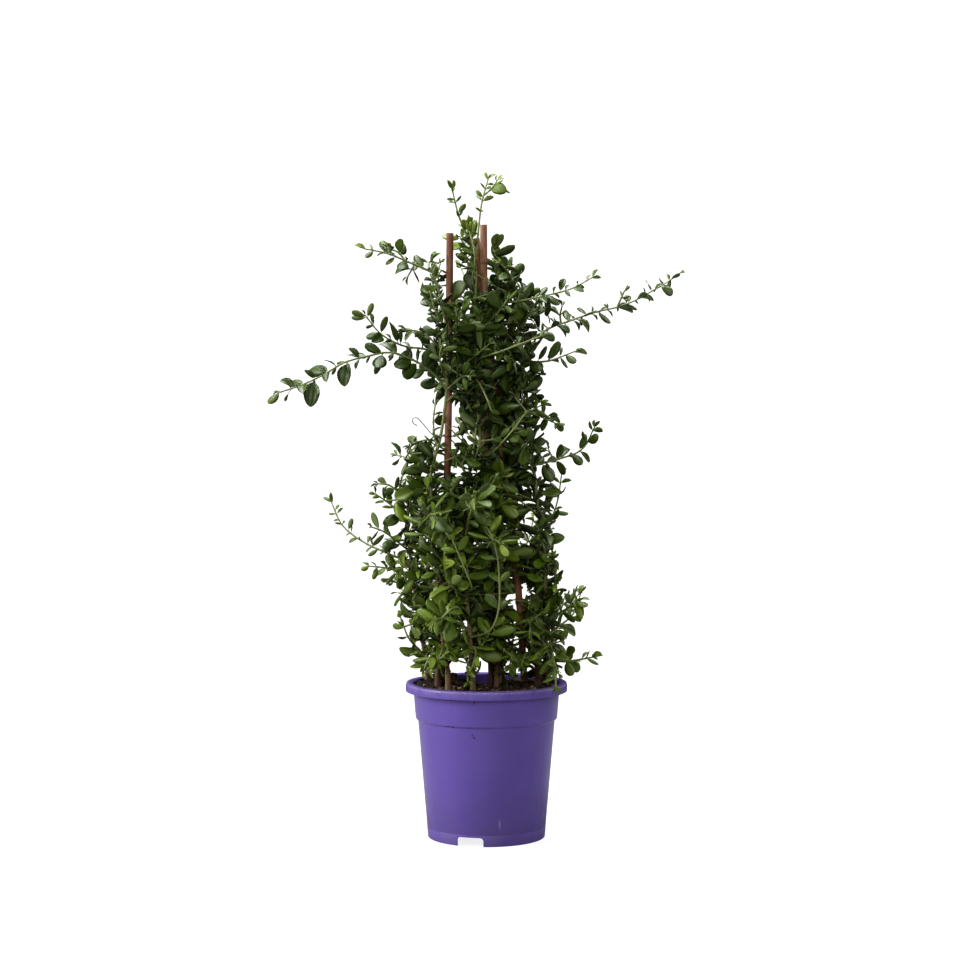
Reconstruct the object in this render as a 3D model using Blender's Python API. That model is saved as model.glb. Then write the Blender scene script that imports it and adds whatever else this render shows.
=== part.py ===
"""A young California lilac, trained up three canes in a plastic nursery pot.

Metres, +Z up. The origin is on the pot's axis in the plane of its foot. -Y is the plant's front.
"""
import math
import random

import bmesh
import bpy
from mathutils import Matrix, Vector
from mathutils.bvhtree import BVHTree

# Pot: a moulded tub with a rolled rim, a shallow collar and three notches in its foot.
RIM_DIAMETER = 0.170
RIM_TOP = 0.163
RIM_LIP_HEIGHT = 0.009
COLLAR_TOP_RADIUS = 0.0775
COLLAR_BOTTOM_RADIUS = 0.0745
COLLAR_BOTTOM = 0.125
BODY_TOP_RADIUS = 0.0720
FOOT_RADIUS = 0.0616
WALL = 0.0017
FLOOR_UNDERSIDE = 0.0110
FLOOR_THICKNESS = 0.0020
FLOOR_EDGE_INSET = 0.0020
FOOT_RING_WIDTH = 0.0018
COLLAR_SLOPE_BELOW = 0.0016
COLLAR_SLOPE_ABOVE = 0.0004
INSIDE_SLOPE = 0.0030
RIM_THICKNESS = 0.0025
RIM_LIP_THICKNESS = 0.0014
RIM_BEVEL_WIDTH = 0.0018
RIM_BEVEL_HEIGHT = 0.0020
RIM_INNER_WIDTH = 0.0012
POT_SEGMENTS = 36
NOTCH_WIDTH = 0.028
NOTCH_HEIGHT = 0.0095
NOTCH_CORNER = 0.0035
NOTCH_CORNER_STEPS = 3
NOTCH_CUT_DEPTH = 0.012
FIRST_NOTCH_ANGLE = math.radians(-90 - 16)
NOTCH_COUNT = 3
DRAIN_RADIUS = 0.0045
DRAIN_RING_RADIUS = 0.038
DRAIN_COUNT = 6
DRAIN_SIDES = 8
CUT_OVERRUN = 0.003

# Gap left between two pieces that touch.
SEAT_GAP = 0.0003

# Soil: its level, the mound at the left and the dip at the back.
SOIL_LEVEL = 0.1575
SOIL_SEGMENTS = 18
SOIL_RINGS = (0.018, 0.038, 0.056)
SOIL_EDGE_DROP = 0.0115
LUMP_HEIGHT = 0.0009
LUMP_WAVES = ((190, 170), (140, 310))
MOUND_CENTRE = (-0.050, 0.002)
MOUND_HEIGHT = 0.0110
MOUND_SPREAD = 0.022
DIP_CENTRE = (-0.013, 0.062)
DIP_DEPTH = 0.0100
DIP_SPREAD = 0.017

# Canes: slightly bowed sticks. Each is given by a point at the soil, one part of the way up and
# the cut top.
CANE_RADIUS = 0.0040
CANE_SIDES = 10
CANE_STEP = 0.120
CANE_FOOT = 0.075
CANE_HOLE_TOP = 0.020
CANES = {
    "cane_left": ((-0.051, -0.022, 0.161), (-0.041, -0.017, 0.376), (-0.038, -0.012, 0.633)),
    "cane_centre": ((0.006, 0.014, 0.156), (-0.001, 0.008, 0.380), (-0.003, 0.002, 0.643)),
    "cane_right": ((0.041, 0.030, 0.151), (0.029, 0.026, 0.310), (-0.011, 0.016, 0.630)),
}

# Wire tie that holds the left leader to its cane. Its free end curls away from the plant: each
# pair is how far out and how far up from the last point of the turn.
TIE_HEIGHT = 0.4215
TIE_WIRE_RADIUS = 0.0005
TIE_SIDES = 4
TIE_POINTS = 15
TIE_PITCH = 0.0022
TIE_SLACK = 0.0005
TIE_START = math.radians(285)
TIE_TURN = math.radians(330)
TIE_STEP = 0.0036
TIE_END_DIRECTION = Vector((-0.92, -0.39, 0.0))
TIE_END = (
    (0.0060, -0.0005), (0.0120, -0.0005), (0.0170, 0.0030), (0.0215, 0.0080), (0.0270, 0.0140),
    (0.0315, 0.0180), (0.0360, 0.0180), (0.0370, 0.0145), (0.0345, 0.0115), (0.0315, 0.0105),
)

# Stems stand in round holes, this far below the point where each route starts.
PLANTED_DEPTH = 0.040
STEM_HOLE_SIDES = 10
STEM_HOLE_TOP = 0.020

# Routes of the seven leaders, and of the long shoots that leave each one. Each long shoot has
# the size of its leaves before its route: 1 for full-grown ones.
LEADERS = {
    "leafy_stem_left": [
        (-0.040, -0.038, 0.172), (-0.045, -0.037, 0.212), (-0.050, -0.036, 0.263),
        (-0.055, -0.034, 0.315), (-0.058, -0.029, 0.375), (-0.055, -0.0265, 0.395),
        (-0.047, -0.0250, 0.425), (-0.042, -0.0240, 0.465), (-0.040, -0.0235, 0.511),
        (-0.044, -0.0240, 0.550), (-0.050, -0.026, 0.572), (-0.057, -0.026, 0.594),
    ],
    "leafy_stem_centre": [
        (0.011, -0.008, 0.172), (0.011, -0.008, 0.205), (0.010, -0.008, 0.257),
        (0.006, -0.008, 0.301), (0.001, -0.008, 0.335), (-0.002, -0.008, 0.370),
        (-0.006, -0.009, 0.407), (-0.009, -0.009, 0.459), (-0.012, -0.010, 0.512),
        (-0.013, -0.010, 0.560), (-0.010, -0.011, 0.600), (-0.016, -0.012, 0.623),
    ],
    "leafy_stem_right": [
        (0.054, 0.004, 0.172), (0.057, 0.002, 0.207), (0.062, 0.001, 0.249),
        (0.061, 0.000, 0.291), (0.056, 0.000, 0.333), (0.051, 0.000, 0.375),
        (0.046, 0.000, 0.417), (0.043, -0.001, 0.460), (0.037, -0.002, 0.502),
        (0.032, -0.002, 0.544), (0.026, 0.000, 0.590),
    ],
    "leafy_stem_back": [
        (0.016, 0.048, 0.172), (0.015, 0.049, 0.203), (0.010, 0.049, 0.256),
        (0.006, 0.046, 0.310), (0.008, 0.042, 0.374), (0.007, 0.040, 0.438),
        (0.012, 0.036, 0.502), (0.010, 0.034, 0.555), (0.014, 0.032, 0.600),
    ],
    "leafy_stem_front": [
        (-0.014, -0.046, 0.172), (-0.016, -0.046, 0.202), (-0.020, -0.043, 0.253),
        (-0.024, -0.041, 0.305), (-0.022, -0.038, 0.356), (-0.014, -0.036, 0.403),
        (-0.010, -0.036, 0.436),
    ],
    "leafy_stem_low_left": [
        (-0.062, 0.004, 0.172), (-0.066, 0.004, 0.197), (-0.071, 0.004, 0.229),
        (-0.077, 0.005, 0.270), (-0.082, 0.006, 0.312), (-0.083, 0.008, 0.349),
        (-0.078, 0.012, 0.385),
    ],
    "leafy_stem_low_right": [
        (0.062, 0.024, 0.172), (0.068, 0.026, 0.200), (0.073, 0.028, 0.236),
        (0.074, 0.030, 0.270), (0.070, 0.032, 0.300),
    ],
}
LONG_SHOOTS = {
    "leafy_stem_left": [
        (0.80, [(-0.057, -0.026, 0.592), (-0.064, -0.030, 0.597), (-0.083, -0.036, 0.602),
         (-0.108, -0.044, 0.612), (-0.125, -0.050, 0.614)]),
        (1.00, [(-0.0415, -0.024, 0.470), (-0.054, -0.034, 0.486), (-0.067, -0.041, 0.495),
         (-0.085, -0.050, 0.505), (-0.105, -0.059, 0.508), (-0.120, -0.066, 0.504),
         (-0.142, -0.076, 0.498), (-0.162, -0.086, 0.486), (-0.178, -0.093, 0.477),
         (-0.209, -0.107, 0.466)]),
        (0.90, [(-0.0405, -0.024, 0.490), (-0.054, -0.030, 0.507), (-0.065, -0.034, 0.512),
         (-0.076, -0.038, 0.512), (-0.093, -0.046, 0.518), (-0.107, -0.054, 0.526),
         (-0.120, -0.062, 0.537), (-0.124, -0.066, 0.546)]),
        (1.00, [(-0.0530, -0.035, 0.295), (-0.058, -0.056, 0.318), (-0.060, -0.083, 0.336),
         (-0.056, -0.112, 0.345), (-0.050, -0.134, 0.346)]),
    ],
    "leafy_stem_centre": [
        (0.55, [(-0.016, -0.012, 0.621), (-0.022, -0.014, 0.636), (-0.027, -0.016, 0.646),
         (-0.032, -0.018, 0.659), (-0.036, -0.020, 0.671), (-0.036, -0.022, 0.679)]),
        (0.55, [(-0.011, -0.011, 0.606), (-0.009, -0.007, 0.628), (-0.007, -0.003, 0.655),
         (-0.003, 0.000, 0.672), (0.002, 0.004, 0.692)]),
        (0.65, [(-0.013, -0.010, 0.548), (0.008, -0.017, 0.558), (0.040, -0.023, 0.563),
         (0.059, -0.027, 0.567), (0.079, -0.031, 0.572), (0.096, -0.035, 0.577),
         (0.110, -0.039, 0.586)]),
        (0.70, [(-0.011, -0.010, 0.496), (0.008, -0.014, 0.507), (0.030, -0.014, 0.514),
         (0.047, -0.010, 0.522), (0.061, 0.004, 0.533), (0.081, 0.026, 0.541),
         (0.102, 0.047, 0.549), (0.126, 0.068, 0.557), (0.150, 0.087, 0.563),
         (0.175, 0.104, 0.576), (0.196, 0.118, 0.588), (0.216, 0.130, 0.602)]),
        (0.75, [(-0.005, -0.009, 0.395), (0.008, -0.020, 0.412), (0.028, -0.031, 0.435),
         (0.046, -0.038, 0.449), (0.058, -0.043, 0.455)]),
        (1.00, [(0.009, -0.008, 0.270), (0.010, -0.030, 0.290), (0.006, -0.060, 0.308),
         (0.008, -0.092, 0.318), (0.014, -0.122, 0.316)]),
    ],
    "leafy_stem_right": [
        (1.00, [(0.037, -0.002, 0.500), (0.050, -0.012, 0.501), (0.064, -0.018, 0.500),
         (0.078, -0.023, 0.502), (0.092, -0.026, 0.510)]),
        (0.80, [(0.049, 0.000, 0.391), (0.066, -0.006, 0.396), (0.092, -0.010, 0.402),
         (0.106, -0.013, 0.416), (0.113, -0.015, 0.432)]),
        (0.75, [(0.060, 0.000, 0.300), (0.066, 0.010, 0.322), (0.072, 0.017, 0.346),
         (0.079, 0.022, 0.362), (0.080, 0.026, 0.382)]),
        (0.90, [(0.044, -0.001, 0.449), (0.053, -0.010, 0.447), (0.065, -0.022, 0.442),
         (0.072, -0.034, 0.434)]),
        (1.00, [(0.060, 0.000, 0.226), (0.074, -0.018, 0.236), (0.086, -0.040, 0.246),
         (0.092, -0.064, 0.254), (0.090, -0.086, 0.262)]),
    ],
    "leafy_stem_back": [
        (0.90, [(0.008, 0.042, 0.385), (0.000, 0.064, 0.402), (-0.008, 0.092, 0.414),
         (-0.020, 0.118, 0.422), (-0.030, 0.134, 0.434)]),
        (0.90, [(0.009, 0.049, 0.262), (0.020, 0.070, 0.278), (0.036, 0.092, 0.292),
         (0.048, 0.112, 0.310), (0.052, 0.124, 0.330)]),
        (0.85, [(0.012, 0.036, 0.505), (0.004, 0.056, 0.520), (-0.010, 0.076, 0.532),
         (-0.028, 0.090, 0.542), (-0.046, 0.098, 0.556)]),
        (0.90, [(0.014, 0.048, 0.215), (-0.004, 0.066, 0.228), (-0.026, 0.084, 0.240),
         (-0.048, 0.098, 0.246)]),
    ],
    "leafy_stem_front": [
        (1.00, [(-0.0235, -0.041, 0.300), (-0.020, -0.064, 0.330), (-0.014, -0.092, 0.350),
         (-0.010, -0.120, 0.358), (-0.012, -0.138, 0.366)]),
        (1.00, [(-0.0175, -0.044, 0.220), (-0.030, -0.062, 0.232), (-0.044, -0.084, 0.238),
         (-0.056, -0.104, 0.238)]),
        (1.00, [(-0.019, -0.037, 0.380), (-0.030, -0.050, 0.398), (-0.040, -0.068, 0.410),
         (-0.046, -0.086, 0.414)]),
    ],
    "leafy_stem_low_left": [
        (0.80, [(-0.083, 0.007, 0.330), (-0.096, 0.000, 0.345), (-0.105, -0.005, 0.354),
         (-0.117, -0.010, 0.362)]),
        (0.50, [(-0.080, 0.005, 0.288), (-0.096, 0.006, 0.296), (-0.117, 0.010, 0.302),
         (-0.137, 0.016, 0.314), (-0.150, 0.020, 0.324), (-0.160, 0.022, 0.336),
         (-0.165, 0.024, 0.352)]),
        (0.80, [(-0.078, 0.005, 0.270), (-0.095, -0.008, 0.280), (-0.112, -0.018, 0.288),
         (-0.124, -0.026, 0.287)]),
        (0.80, [(-0.065, 0.004, 0.190), (-0.076, -0.004, 0.200), (-0.084, -0.012, 0.216),
         (-0.090, -0.020, 0.234)]),
        (0.85, [(-0.074, 0.0045, 0.245), (-0.088, 0.024, 0.256), (-0.098, 0.046, 0.268),
         (-0.100, 0.070, 0.284)]),
    ],
    "leafy_stem_low_right": [
        (0.80, [(0.064, 0.025, 0.182), (0.074, 0.016, 0.184), (0.086, 0.008, 0.184),
         (0.099, 0.000, 0.184), (0.112, -0.008, 0.190)]),
        (0.85, [(0.070, 0.027, 0.214), (0.084, 0.036, 0.222), (0.096, 0.050, 0.234),
         (0.102, 0.066, 0.250)]),
    ],
}

# The three kinds of stem. Radii at the root and at the tip, sides of the tube, distance between
# leaves, and how loosely the leaves turn from the light.
LEADER = "leader"
LONG_SHOOT = "long shoot"
SIDE_SHOOT = "side shoot"
STEM_RADII = {LEADER: (0.0026, 0.0011), LONG_SHOOT: (0.0014, 0.0010), SIDE_SHOOT: (0.0016, 0.0012)}
STEM_SIDES = {LEADER: 5, LONG_SHOOT: 4, SIDE_SHOOT: 3}
LEAF_SPACING = {LEADER: 0.0450, LONG_SHOOT: 0.0200, SIDE_SHOOT: 0.0280}
LEAF_LOOSENESS = {LEADER: 0.40, LONG_SHOOT: 0.25, SIDE_SHOOT: 0.50}
LEADER_STEP = 0.036
LONG_SHOOT_STEP = 0.026
LONG_SHOOT_LIGHT = Vector((0.0, -0.8, 0.5))
LONG_SHOOT_LIGHT_SWING = 0.4

# Side shoots: short ones all the way up each leader. Angles are in degrees. FOLIAGE_REACH is how
# far from the pot's axis their tips may lie at each height.
SIDE_SHOOT_SPACING = 0.034
SIDE_SHOOT_LENGTH = (0.040, 0.072)
SIDE_SHOOT_STEPS = 3
SIDE_SHOOT_TRIES = 10
SIDE_SHOOT_RISE = (-5, 45)
SIDE_SHOOT_LIFT = (0, 35)
SIDE_SHOOT_TURN = (-30, 30)
LATE_TRY_SPREAD = (-80, 80)
LATE_TRY_LENGTH = 0.7
LIGHT_RISE = (0.2, 1.0)
LIGHT_SWING = 0.6
LOWEST_SIDE_SHOOT = 0.190
BARE_LEADER_TIP = 0.006
GOLDEN_ANGLE = math.radians(137.5)
FOLIAGE_REACH = (
    (0.170, 0.072), (0.280, 0.090), (0.400, 0.076), (0.500, 0.068), (0.580, 0.056), (0.640, 0.036),
)

# Leaves: oval blades on short stalks, each with a keel under its midrib. A station is a share of
# the length and the share of the full width there.
LEAF_LENGTH = (0.0210, 0.0280)
LEAF_WIDTH_RATIO = 0.62
LEAF_WIDTH_CHANGE = (0.92, 1.08)
YOUNG_LEAF_SHARE = 0.62
YOUNG_STRETCH = 0.022
SMALLEST_LEAF = 0.45
SMALL_LEAF_SIZE = 0.75
SPACING_OF_SMALLEST = 0.3
SPACING_CHANGE = (0.85, 1.15)
FIRST_LEAF = 0.010
FIRST_LEADER_LEAF = 0.060
LAST_LEAF = 0.004
TIP_LEAF_INSET = 0.0025
LEAF_LEAN = (0.3, 0.9)
TIP_LEAF_LEAN = (1.5, 3.0)
LEAF_SWING = 0.5
LEAF_TILT = 0.1
LEADER_LEAF_TILT = 0.9
LEAF_TRIES = 6
LEAF_DROOP = 0.16
LEAF_KEEL = 0.0013
STALK_HALF_WIDTH = 0.0006
STALK_KEEL = 0.0007
LARGE_LEAF_STATIONS = ((0.30, 0.74), (0.62, 1.00), (0.88, 0.62))
SMALL_LEAF_STATIONS = ((0.40, 0.96), (0.76, 0.88))

# Air kept round a stem or blade, and the outline of the room that a blade is given.
CLEARANCE = 0.0009
ROOM_HALF_ROOT = 0.0016
ROOM_STATIONS = (0.34, 0.78)
ROOM_END = 1.04

# Faces closer to flat than this are merged in the stems and the soil.
FLAT_ANGLE = math.radians(3.0)
SHADE_ANGLE = math.radians(40)
CURVE_PARTS = 8
SEED = 7
UP = Vector((0.0, 0.0, 1.0))
ANY_SIDE = Vector((1.0, 0.3, 0.0))


def clear_scene():
    """Remove whatever the scene holds."""
    for thing in list(bpy.data.objects):
        bpy.data.objects.remove(thing, do_unlink=True)


def principled(name, colour, roughness, metallic=0.0):
    """A plain material for one kind of surface."""
    material = bpy.data.materials.new(name)
    material.use_nodes = True
    shader = material.node_tree.nodes["Principled BSDF"]
    shader.inputs["Base Color"].default_value = (*colour, 1.0)
    shader.inputs["Roughness"].default_value = roughness
    shader.inputs["Metallic"].default_value = metallic
    return material


def new_object(name, points, faces, material=None):
    """An object from points and faces, closed and with its faces pointing out."""
    shape = bmesh.new()
    corners = [shape.verts.new(point) for point in points]
    for face in faces:
        shape.faces.new([corners[index] for index in face])
    bmesh.ops.recalc_face_normals(shape, faces=shape.faces)
    mesh = bpy.data.meshes.new(name)
    shape.to_mesh(mesh)
    shape.free()
    thing = bpy.data.objects.new(name, mesh)
    bpy.context.scene.collection.objects.link(thing)
    if material:
        mesh.materials.append(material)
    return thing


def combine(target, others, operation, solver="EXACT"):
    """Join the other objects to the target, or cut them out of it, and remove them."""
    group = bpy.data.collections.new(target.name + "_parts")
    bpy.context.scene.collection.children.link(group)
    for other in others:
        bpy.context.scene.collection.objects.unlink(other)
        group.objects.link(other)
    step = target.modifiers.new("Combine", "BOOLEAN")
    step.operation = operation
    step.operand_type = "COLLECTION"
    step.collection = group
    step.solver = solver
    bpy.context.view_layer.update()
    graph = bpy.context.evaluated_depsgraph_get()
    joined = bpy.data.meshes.new_from_object(target.evaluated_get(graph))
    target.modifiers.clear()
    target.data = joined
    for other in others:
        bpy.data.objects.remove(other, do_unlink=True)
    bpy.data.collections.remove(group)


def keep_main_body(thing):
    """Keep the largest connected body of a mesh: sealed hollows and loose scraps go."""
    shape = bmesh.new()
    shape.from_mesh(thing.data)
    bmesh.ops.dissolve_limit(shape, angle_limit=FLAT_ANGLE, verts=shape.verts, edges=shape.edges)
    unseen = set(shape.verts)
    bodies = []
    while unseen:
        first = unseen.pop()
        body = {first}
        to_visit = [first]
        while to_visit:
            corner = to_visit.pop()
            for edge in corner.link_edges:
                other = edge.other_vert(corner)
                if other not in body:
                    body.add(other)
                    to_visit.append(other)
        unseen -= body
        bodies.append(body)
    main = max(bodies, key=len)
    scraps = [corner for corner in shape.verts if corner not in main]
    bmesh.ops.delete(shape, geom=scraps, context="VERTS")
    bmesh.ops.triangulate(shape, faces=shape.faces)
    shape.to_mesh(thing.data)
    shape.free()


def rounded(thing):
    """Shade round surfaces smooth and keep sharp edges sharp."""
    thing.data.shade_smooth()
    thing.data.set_sharp_from_angle(angle=SHADE_ANGLE)


# Curves, tubes and blades.

def smooth_route(route, step):
    """Points at about equal distances along a smooth curve through the route."""
    points = [Vector(point) for point in route]
    ends = [2 * points[0] - points[1]] + points + [2 * points[-1] - points[-2]]
    fine = []
    for before, start, stop, after in zip(ends, ends[1:], ends[2:], ends[3:]):
        for part in range(CURVE_PARTS):
            t = part / CURVE_PARTS
            fine.append(0.5 * (
                2 * start + (stop - before) * t
                + (2 * before - 5 * start + 4 * stop - after) * t ** 2
                + (3 * start - before - 3 * stop + after) * t ** 3))
    fine.append(points[-1])
    reached = [0.0]
    for first, second in zip(fine, fine[1:]):
        reached.append(reached[-1] + (second - first).length)
    count = max(2, round(reached[-1] / step))
    even = []
    index = 0
    for number in range(count + 1):
        goal = reached[-1] * number / count
        while index < len(fine) - 2 and reached[index + 1] < goal:
            index += 1
        share = (goal - reached[index]) / (reached[index + 1] - reached[index])
        even.append(fine[index].lerp(fine[index + 1], min(share, 1.0)))
    return even


def route_length(points):
    """Length of a route from its first point to its last."""
    return sum((second - first).length for first, second in zip(points, points[1:]))


def place_on_route(points, distance):
    """The point at a distance along a route, and the direction of the route there."""
    for first, second in zip(points, points[1:]):
        length = (second - first).length
        if distance <= length:
            break
        distance -= length
    forward = (second - first).normalized()
    return first + forward * min(distance, length), forward


def point_at_height(points, height):
    """The point of a route that lies nearest to a height."""
    return min(points, key=lambda point: abs(point.z - height))


def tapered(first, last, count):
    """Values that fall evenly from the first to the last."""
    return [first + (last - first) * number / (count - 1) for number in range(count)]


def across_from(forward, hint):
    """The direction nearest to the hint that is square to forward."""
    across = hint - forward * hint.dot(forward)
    if across.length < 1e-4:
        across = forward.orthogonal()
    return across.normalized()


def tube_shape(points, radii, sides):
    """Points and faces of a closed tube along a route."""
    corners = []
    across = across_from((points[1] - points[0]).normalized(), ANY_SIDE)
    for index, (point, radius) in enumerate(zip(points, radii)):
        before = points[max(index - 1, 0)]
        after = points[min(index + 1, len(points) - 1)]
        forward = (after - before).normalized()
        across = across_from(forward, across)
        other = forward.cross(across)
        for side in range(sides):
            angle = 2 * math.pi * side / sides
            corners.append(point + radius * (math.cos(angle) * across + math.sin(angle) * other))
    faces = [list(range(sides))[::-1]]
    for ring in range(len(points) - 1):
        for side in range(sides):
            next_side = (side + 1) % sides
            low = ring * sides
            faces.append([low + side, low + next_side, low + sides + next_side, low + sides + side])
    faces.append([(len(points) - 1) * sides + side for side in range(sides)])
    return corners, faces


class Leaf:
    """Where one blade grows, how it points and how large it is."""

    def __init__(self, root, forward, face, length, width, stations):
        self.root = root
        self.stations = stations
        self.forward = forward.normalized()
        self.face = across_from(self.forward, face)
        self.side = self.forward.cross(self.face)
        self.length = length
        self.width = width

    def point(self, along, across, rise):
        """A point of the blade. It droops towards its tip."""
        droop = LEAF_DROOP * self.length * along * along
        return (self.root + self.forward * (along * self.length)
                + self.side * across + self.face * (rise - droop))


def blade_shape(leaf):
    """Points and faces of a blade: flat on top, with a keel below its midrib."""
    sections = [(0.0, STALK_HALF_WIDTH, STALK_KEEL)]
    sections += [(along, share * leaf.width / 2, LEAF_KEEL) for along, share in leaf.stations]
    corners = []
    for along, half_width, keel in sections:
        corners.append(leaf.point(along, -half_width, 0.0))
        corners.append(leaf.point(along, half_width, 0.0))
        corners.append(leaf.point(along, 0.0, -keel))
    corners.append(leaf.point(1.0, 0.0, -LEAF_KEEL / 2))
    faces = [[0, 1, 2]]
    for section in range(len(sections) - 1):
        low = 3 * section
        for first, second in ((0, 1), (1, 2), (2, 0)):
            faces.append([low + first, low + second, low + 3 + second])
            faces.append([low + first, low + 3 + second, low + 3 + first])
    low = 3 * (len(sections) - 1)
    tip = len(corners) - 1
    faces += [[low, low + 1, tip], [low + 1, low + 2, tip], [low + 2, low, tip]]
    return corners, faces


def room_around_blade(leaf):
    """A flat box round a blade, with some air between the two."""
    half = leaf.width / 2 + CLEARANCE
    near, far = ROOM_STATIONS
    outline = ((0.0, -ROOM_HALF_ROOT), (near, -half), (far, -half), (ROOM_END, 0.0), (far, half),
               (near, half), (0.0, ROOM_HALF_ROOT))
    corners = [leaf.point(along, across, CLEARANCE) for along, across in outline]
    corners += [leaf.point(along, across, -LEAF_KEEL - CLEARANCE) for along, across in outline]
    return corners, prism_faces(len(outline))


def prism_faces(count):
    """Faces of a prism whose first end is the first count corners and whose other end is the rest."""
    faces = [list(range(count))[::-1], list(range(count, 2 * count))]
    for index in range(count):
        after = (index + 1) % count
        faces.append([index, after, count + after, count + index])
    return faces


# What already takes up room.

class Space:
    """The shapes placed so far, sorted into cubes so that near ones are found quickly."""

    CUBE = 0.030

    def __init__(self):
        self.cubes = {}
        self.shapes = []

    def cubes_of(self, corners):
        lows = [math.floor(min(corner[axis] for corner in corners) / self.CUBE) for axis in range(3)]
        highs = [math.floor(max(corner[axis] for corner in corners) / self.CUBE) for axis in range(3)]
        for x in range(lows[0], highs[0] + 1):
            for y in range(lows[1], highs[1] + 1):
                for z in range(lows[2], highs[2] + 1):
                    yield x, y, z

    def add(self, corners, faces):
        """Take up room. The number returned stands for the shape."""
        number = len(self.shapes)
        self.shapes.append(BVHTree.FromPolygons(corners, faces))
        for cube in self.cubes_of(corners):
            self.cubes.setdefault(cube, []).append(number)
        return number

    def is_free(self, corners, faces, besides=()):
        """Whether a shape touches nothing but the shapes that it grows from."""
        tree = BVHTree.FromPolygons(corners, faces)
        tested = set(besides)
        for cube in self.cubes_of(corners):
            for number in self.cubes.get(cube, ()):
                if number not in tested:
                    tested.add(number)
                    if tree.overlap(self.shapes[number]):
                        return False
        return True


# Pot.

def wall_radius(height):
    """Outer radius of the pot's wall at a height."""
    if height > COLLAR_BOTTOM:
        share = (height - COLLAR_BOTTOM) / (RIM_TOP - COLLAR_BOTTOM)
        return COLLAR_BOTTOM_RADIUS + (COLLAR_TOP_RADIUS - COLLAR_BOTTOM_RADIUS) * share
    return FOOT_RADIUS + (BODY_TOP_RADIUS - FOOT_RADIUS) * height / COLLAR_BOTTOM


def pot_profile():
    """Radius and height of the pot's section, from the floor's underside round to its top."""
    rim = RIM_DIAMETER / 2
    under_rim = RIM_TOP - RIM_THICKNESS
    lip_bottom = RIM_TOP - RIM_LIP_HEIGHT
    floor_top = FLOOR_UNDERSIDE + FLOOR_THICKNESS
    return [
        (0.0, FLOOR_UNDERSIDE),
        (wall_radius(FLOOR_UNDERSIDE) - FLOOR_EDGE_INSET, FLOOR_UNDERSIDE),
        (FOOT_RADIUS - FOOT_RING_WIDTH, 0.0),
        (FOOT_RADIUS, 0.0),
        (BODY_TOP_RADIUS, COLLAR_BOTTOM - COLLAR_SLOPE_BELOW),
        (COLLAR_BOTTOM_RADIUS, COLLAR_BOTTOM + COLLAR_SLOPE_ABOVE),
        (wall_radius(under_rim), under_rim),
        (rim - RIM_BEVEL_WIDTH, under_rim),
        (rim - RIM_LIP_THICKNESS, lip_bottom),
        (rim, lip_bottom),
        (rim, RIM_TOP - RIM_BEVEL_HEIGHT),
        (rim - RIM_BEVEL_WIDTH, RIM_TOP),
        (COLLAR_TOP_RADIUS + RIM_INNER_WIDTH, RIM_TOP),
        (COLLAR_TOP_RADIUS - WALL, RIM_TOP - RIM_BEVEL_HEIGHT),
        (COLLAR_BOTTOM_RADIUS - WALL, COLLAR_BOTTOM),
        (BODY_TOP_RADIUS - WALL, COLLAR_BOTTOM - INSIDE_SLOPE),
        (wall_radius(floor_top) - WALL, floor_top),
        (0.0, floor_top),
    ]


def turned(name, profile, segments, material):
    """A solid turned round the Z axis from a section whose two ends lie on the axis."""
    shape = bmesh.new()
    corners = [shape.verts.new((radius, 0.0, height)) for radius, height in profile]
    edges = [shape.edges.new(pair) for pair in zip(corners, corners[1:])]
    bmesh.ops.spin(shape, geom=corners + edges, cent=(0, 0, 0), axis=(0, 0, 1), dvec=(0, 0, 0),
                   angle=2 * math.pi, steps=segments, use_merge=True, use_duplicate=False)
    bmesh.ops.remove_doubles(shape, verts=shape.verts, dist=1e-6)
    bmesh.ops.recalc_face_normals(shape, faces=shape.faces)
    mesh = bpy.data.meshes.new(name)
    shape.to_mesh(mesh)
    shape.free()
    thing = bpy.data.objects.new(name, mesh)
    bpy.context.scene.collection.objects.link(thing)
    mesh.materials.append(material)
    return thing


def notch_cutter(angle):
    """A bar with rounded upper corners, laid through the foot's skirt."""
    outline = [(NOTCH_WIDTH / 2, -CUT_OVERRUN)]
    for side in (1, -1):
        for part in range(NOTCH_CORNER_STEPS + 1):
            turn = math.pi / 2 * part / NOTCH_CORNER_STEPS
            if side < 0:
                turn = math.pi / 2 - turn
            outline.append((side * (NOTCH_WIDTH / 2 - NOTCH_CORNER * (1 - math.cos(turn))),
                            NOTCH_HEIGHT - NOTCH_CORNER * (1 - math.sin(turn))))
    outline.append((-NOTCH_WIDTH / 2, -CUT_OVERRUN))
    turned_bar = Matrix.Rotation(angle, 3, "Z")
    corners = []
    for radius in (FOOT_RADIUS - NOTCH_CUT_DEPTH, FOOT_RADIUS + CUT_OVERRUN):
        corners += [turned_bar @ Vector((radius, across, height)) for across, height in outline]
    return new_object("notch_cutter", corners, prism_faces(len(outline)))


def upright_cutter(x, y, bottom, top, radius, sides):
    """A round upright bar that cuts a hole."""
    line = [Vector((x, y, bottom)), Vector((x, y, top))]
    corners, faces = tube_shape(line, [radius, radius], sides)
    return new_object("hole_cutter", corners, faces)


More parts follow.
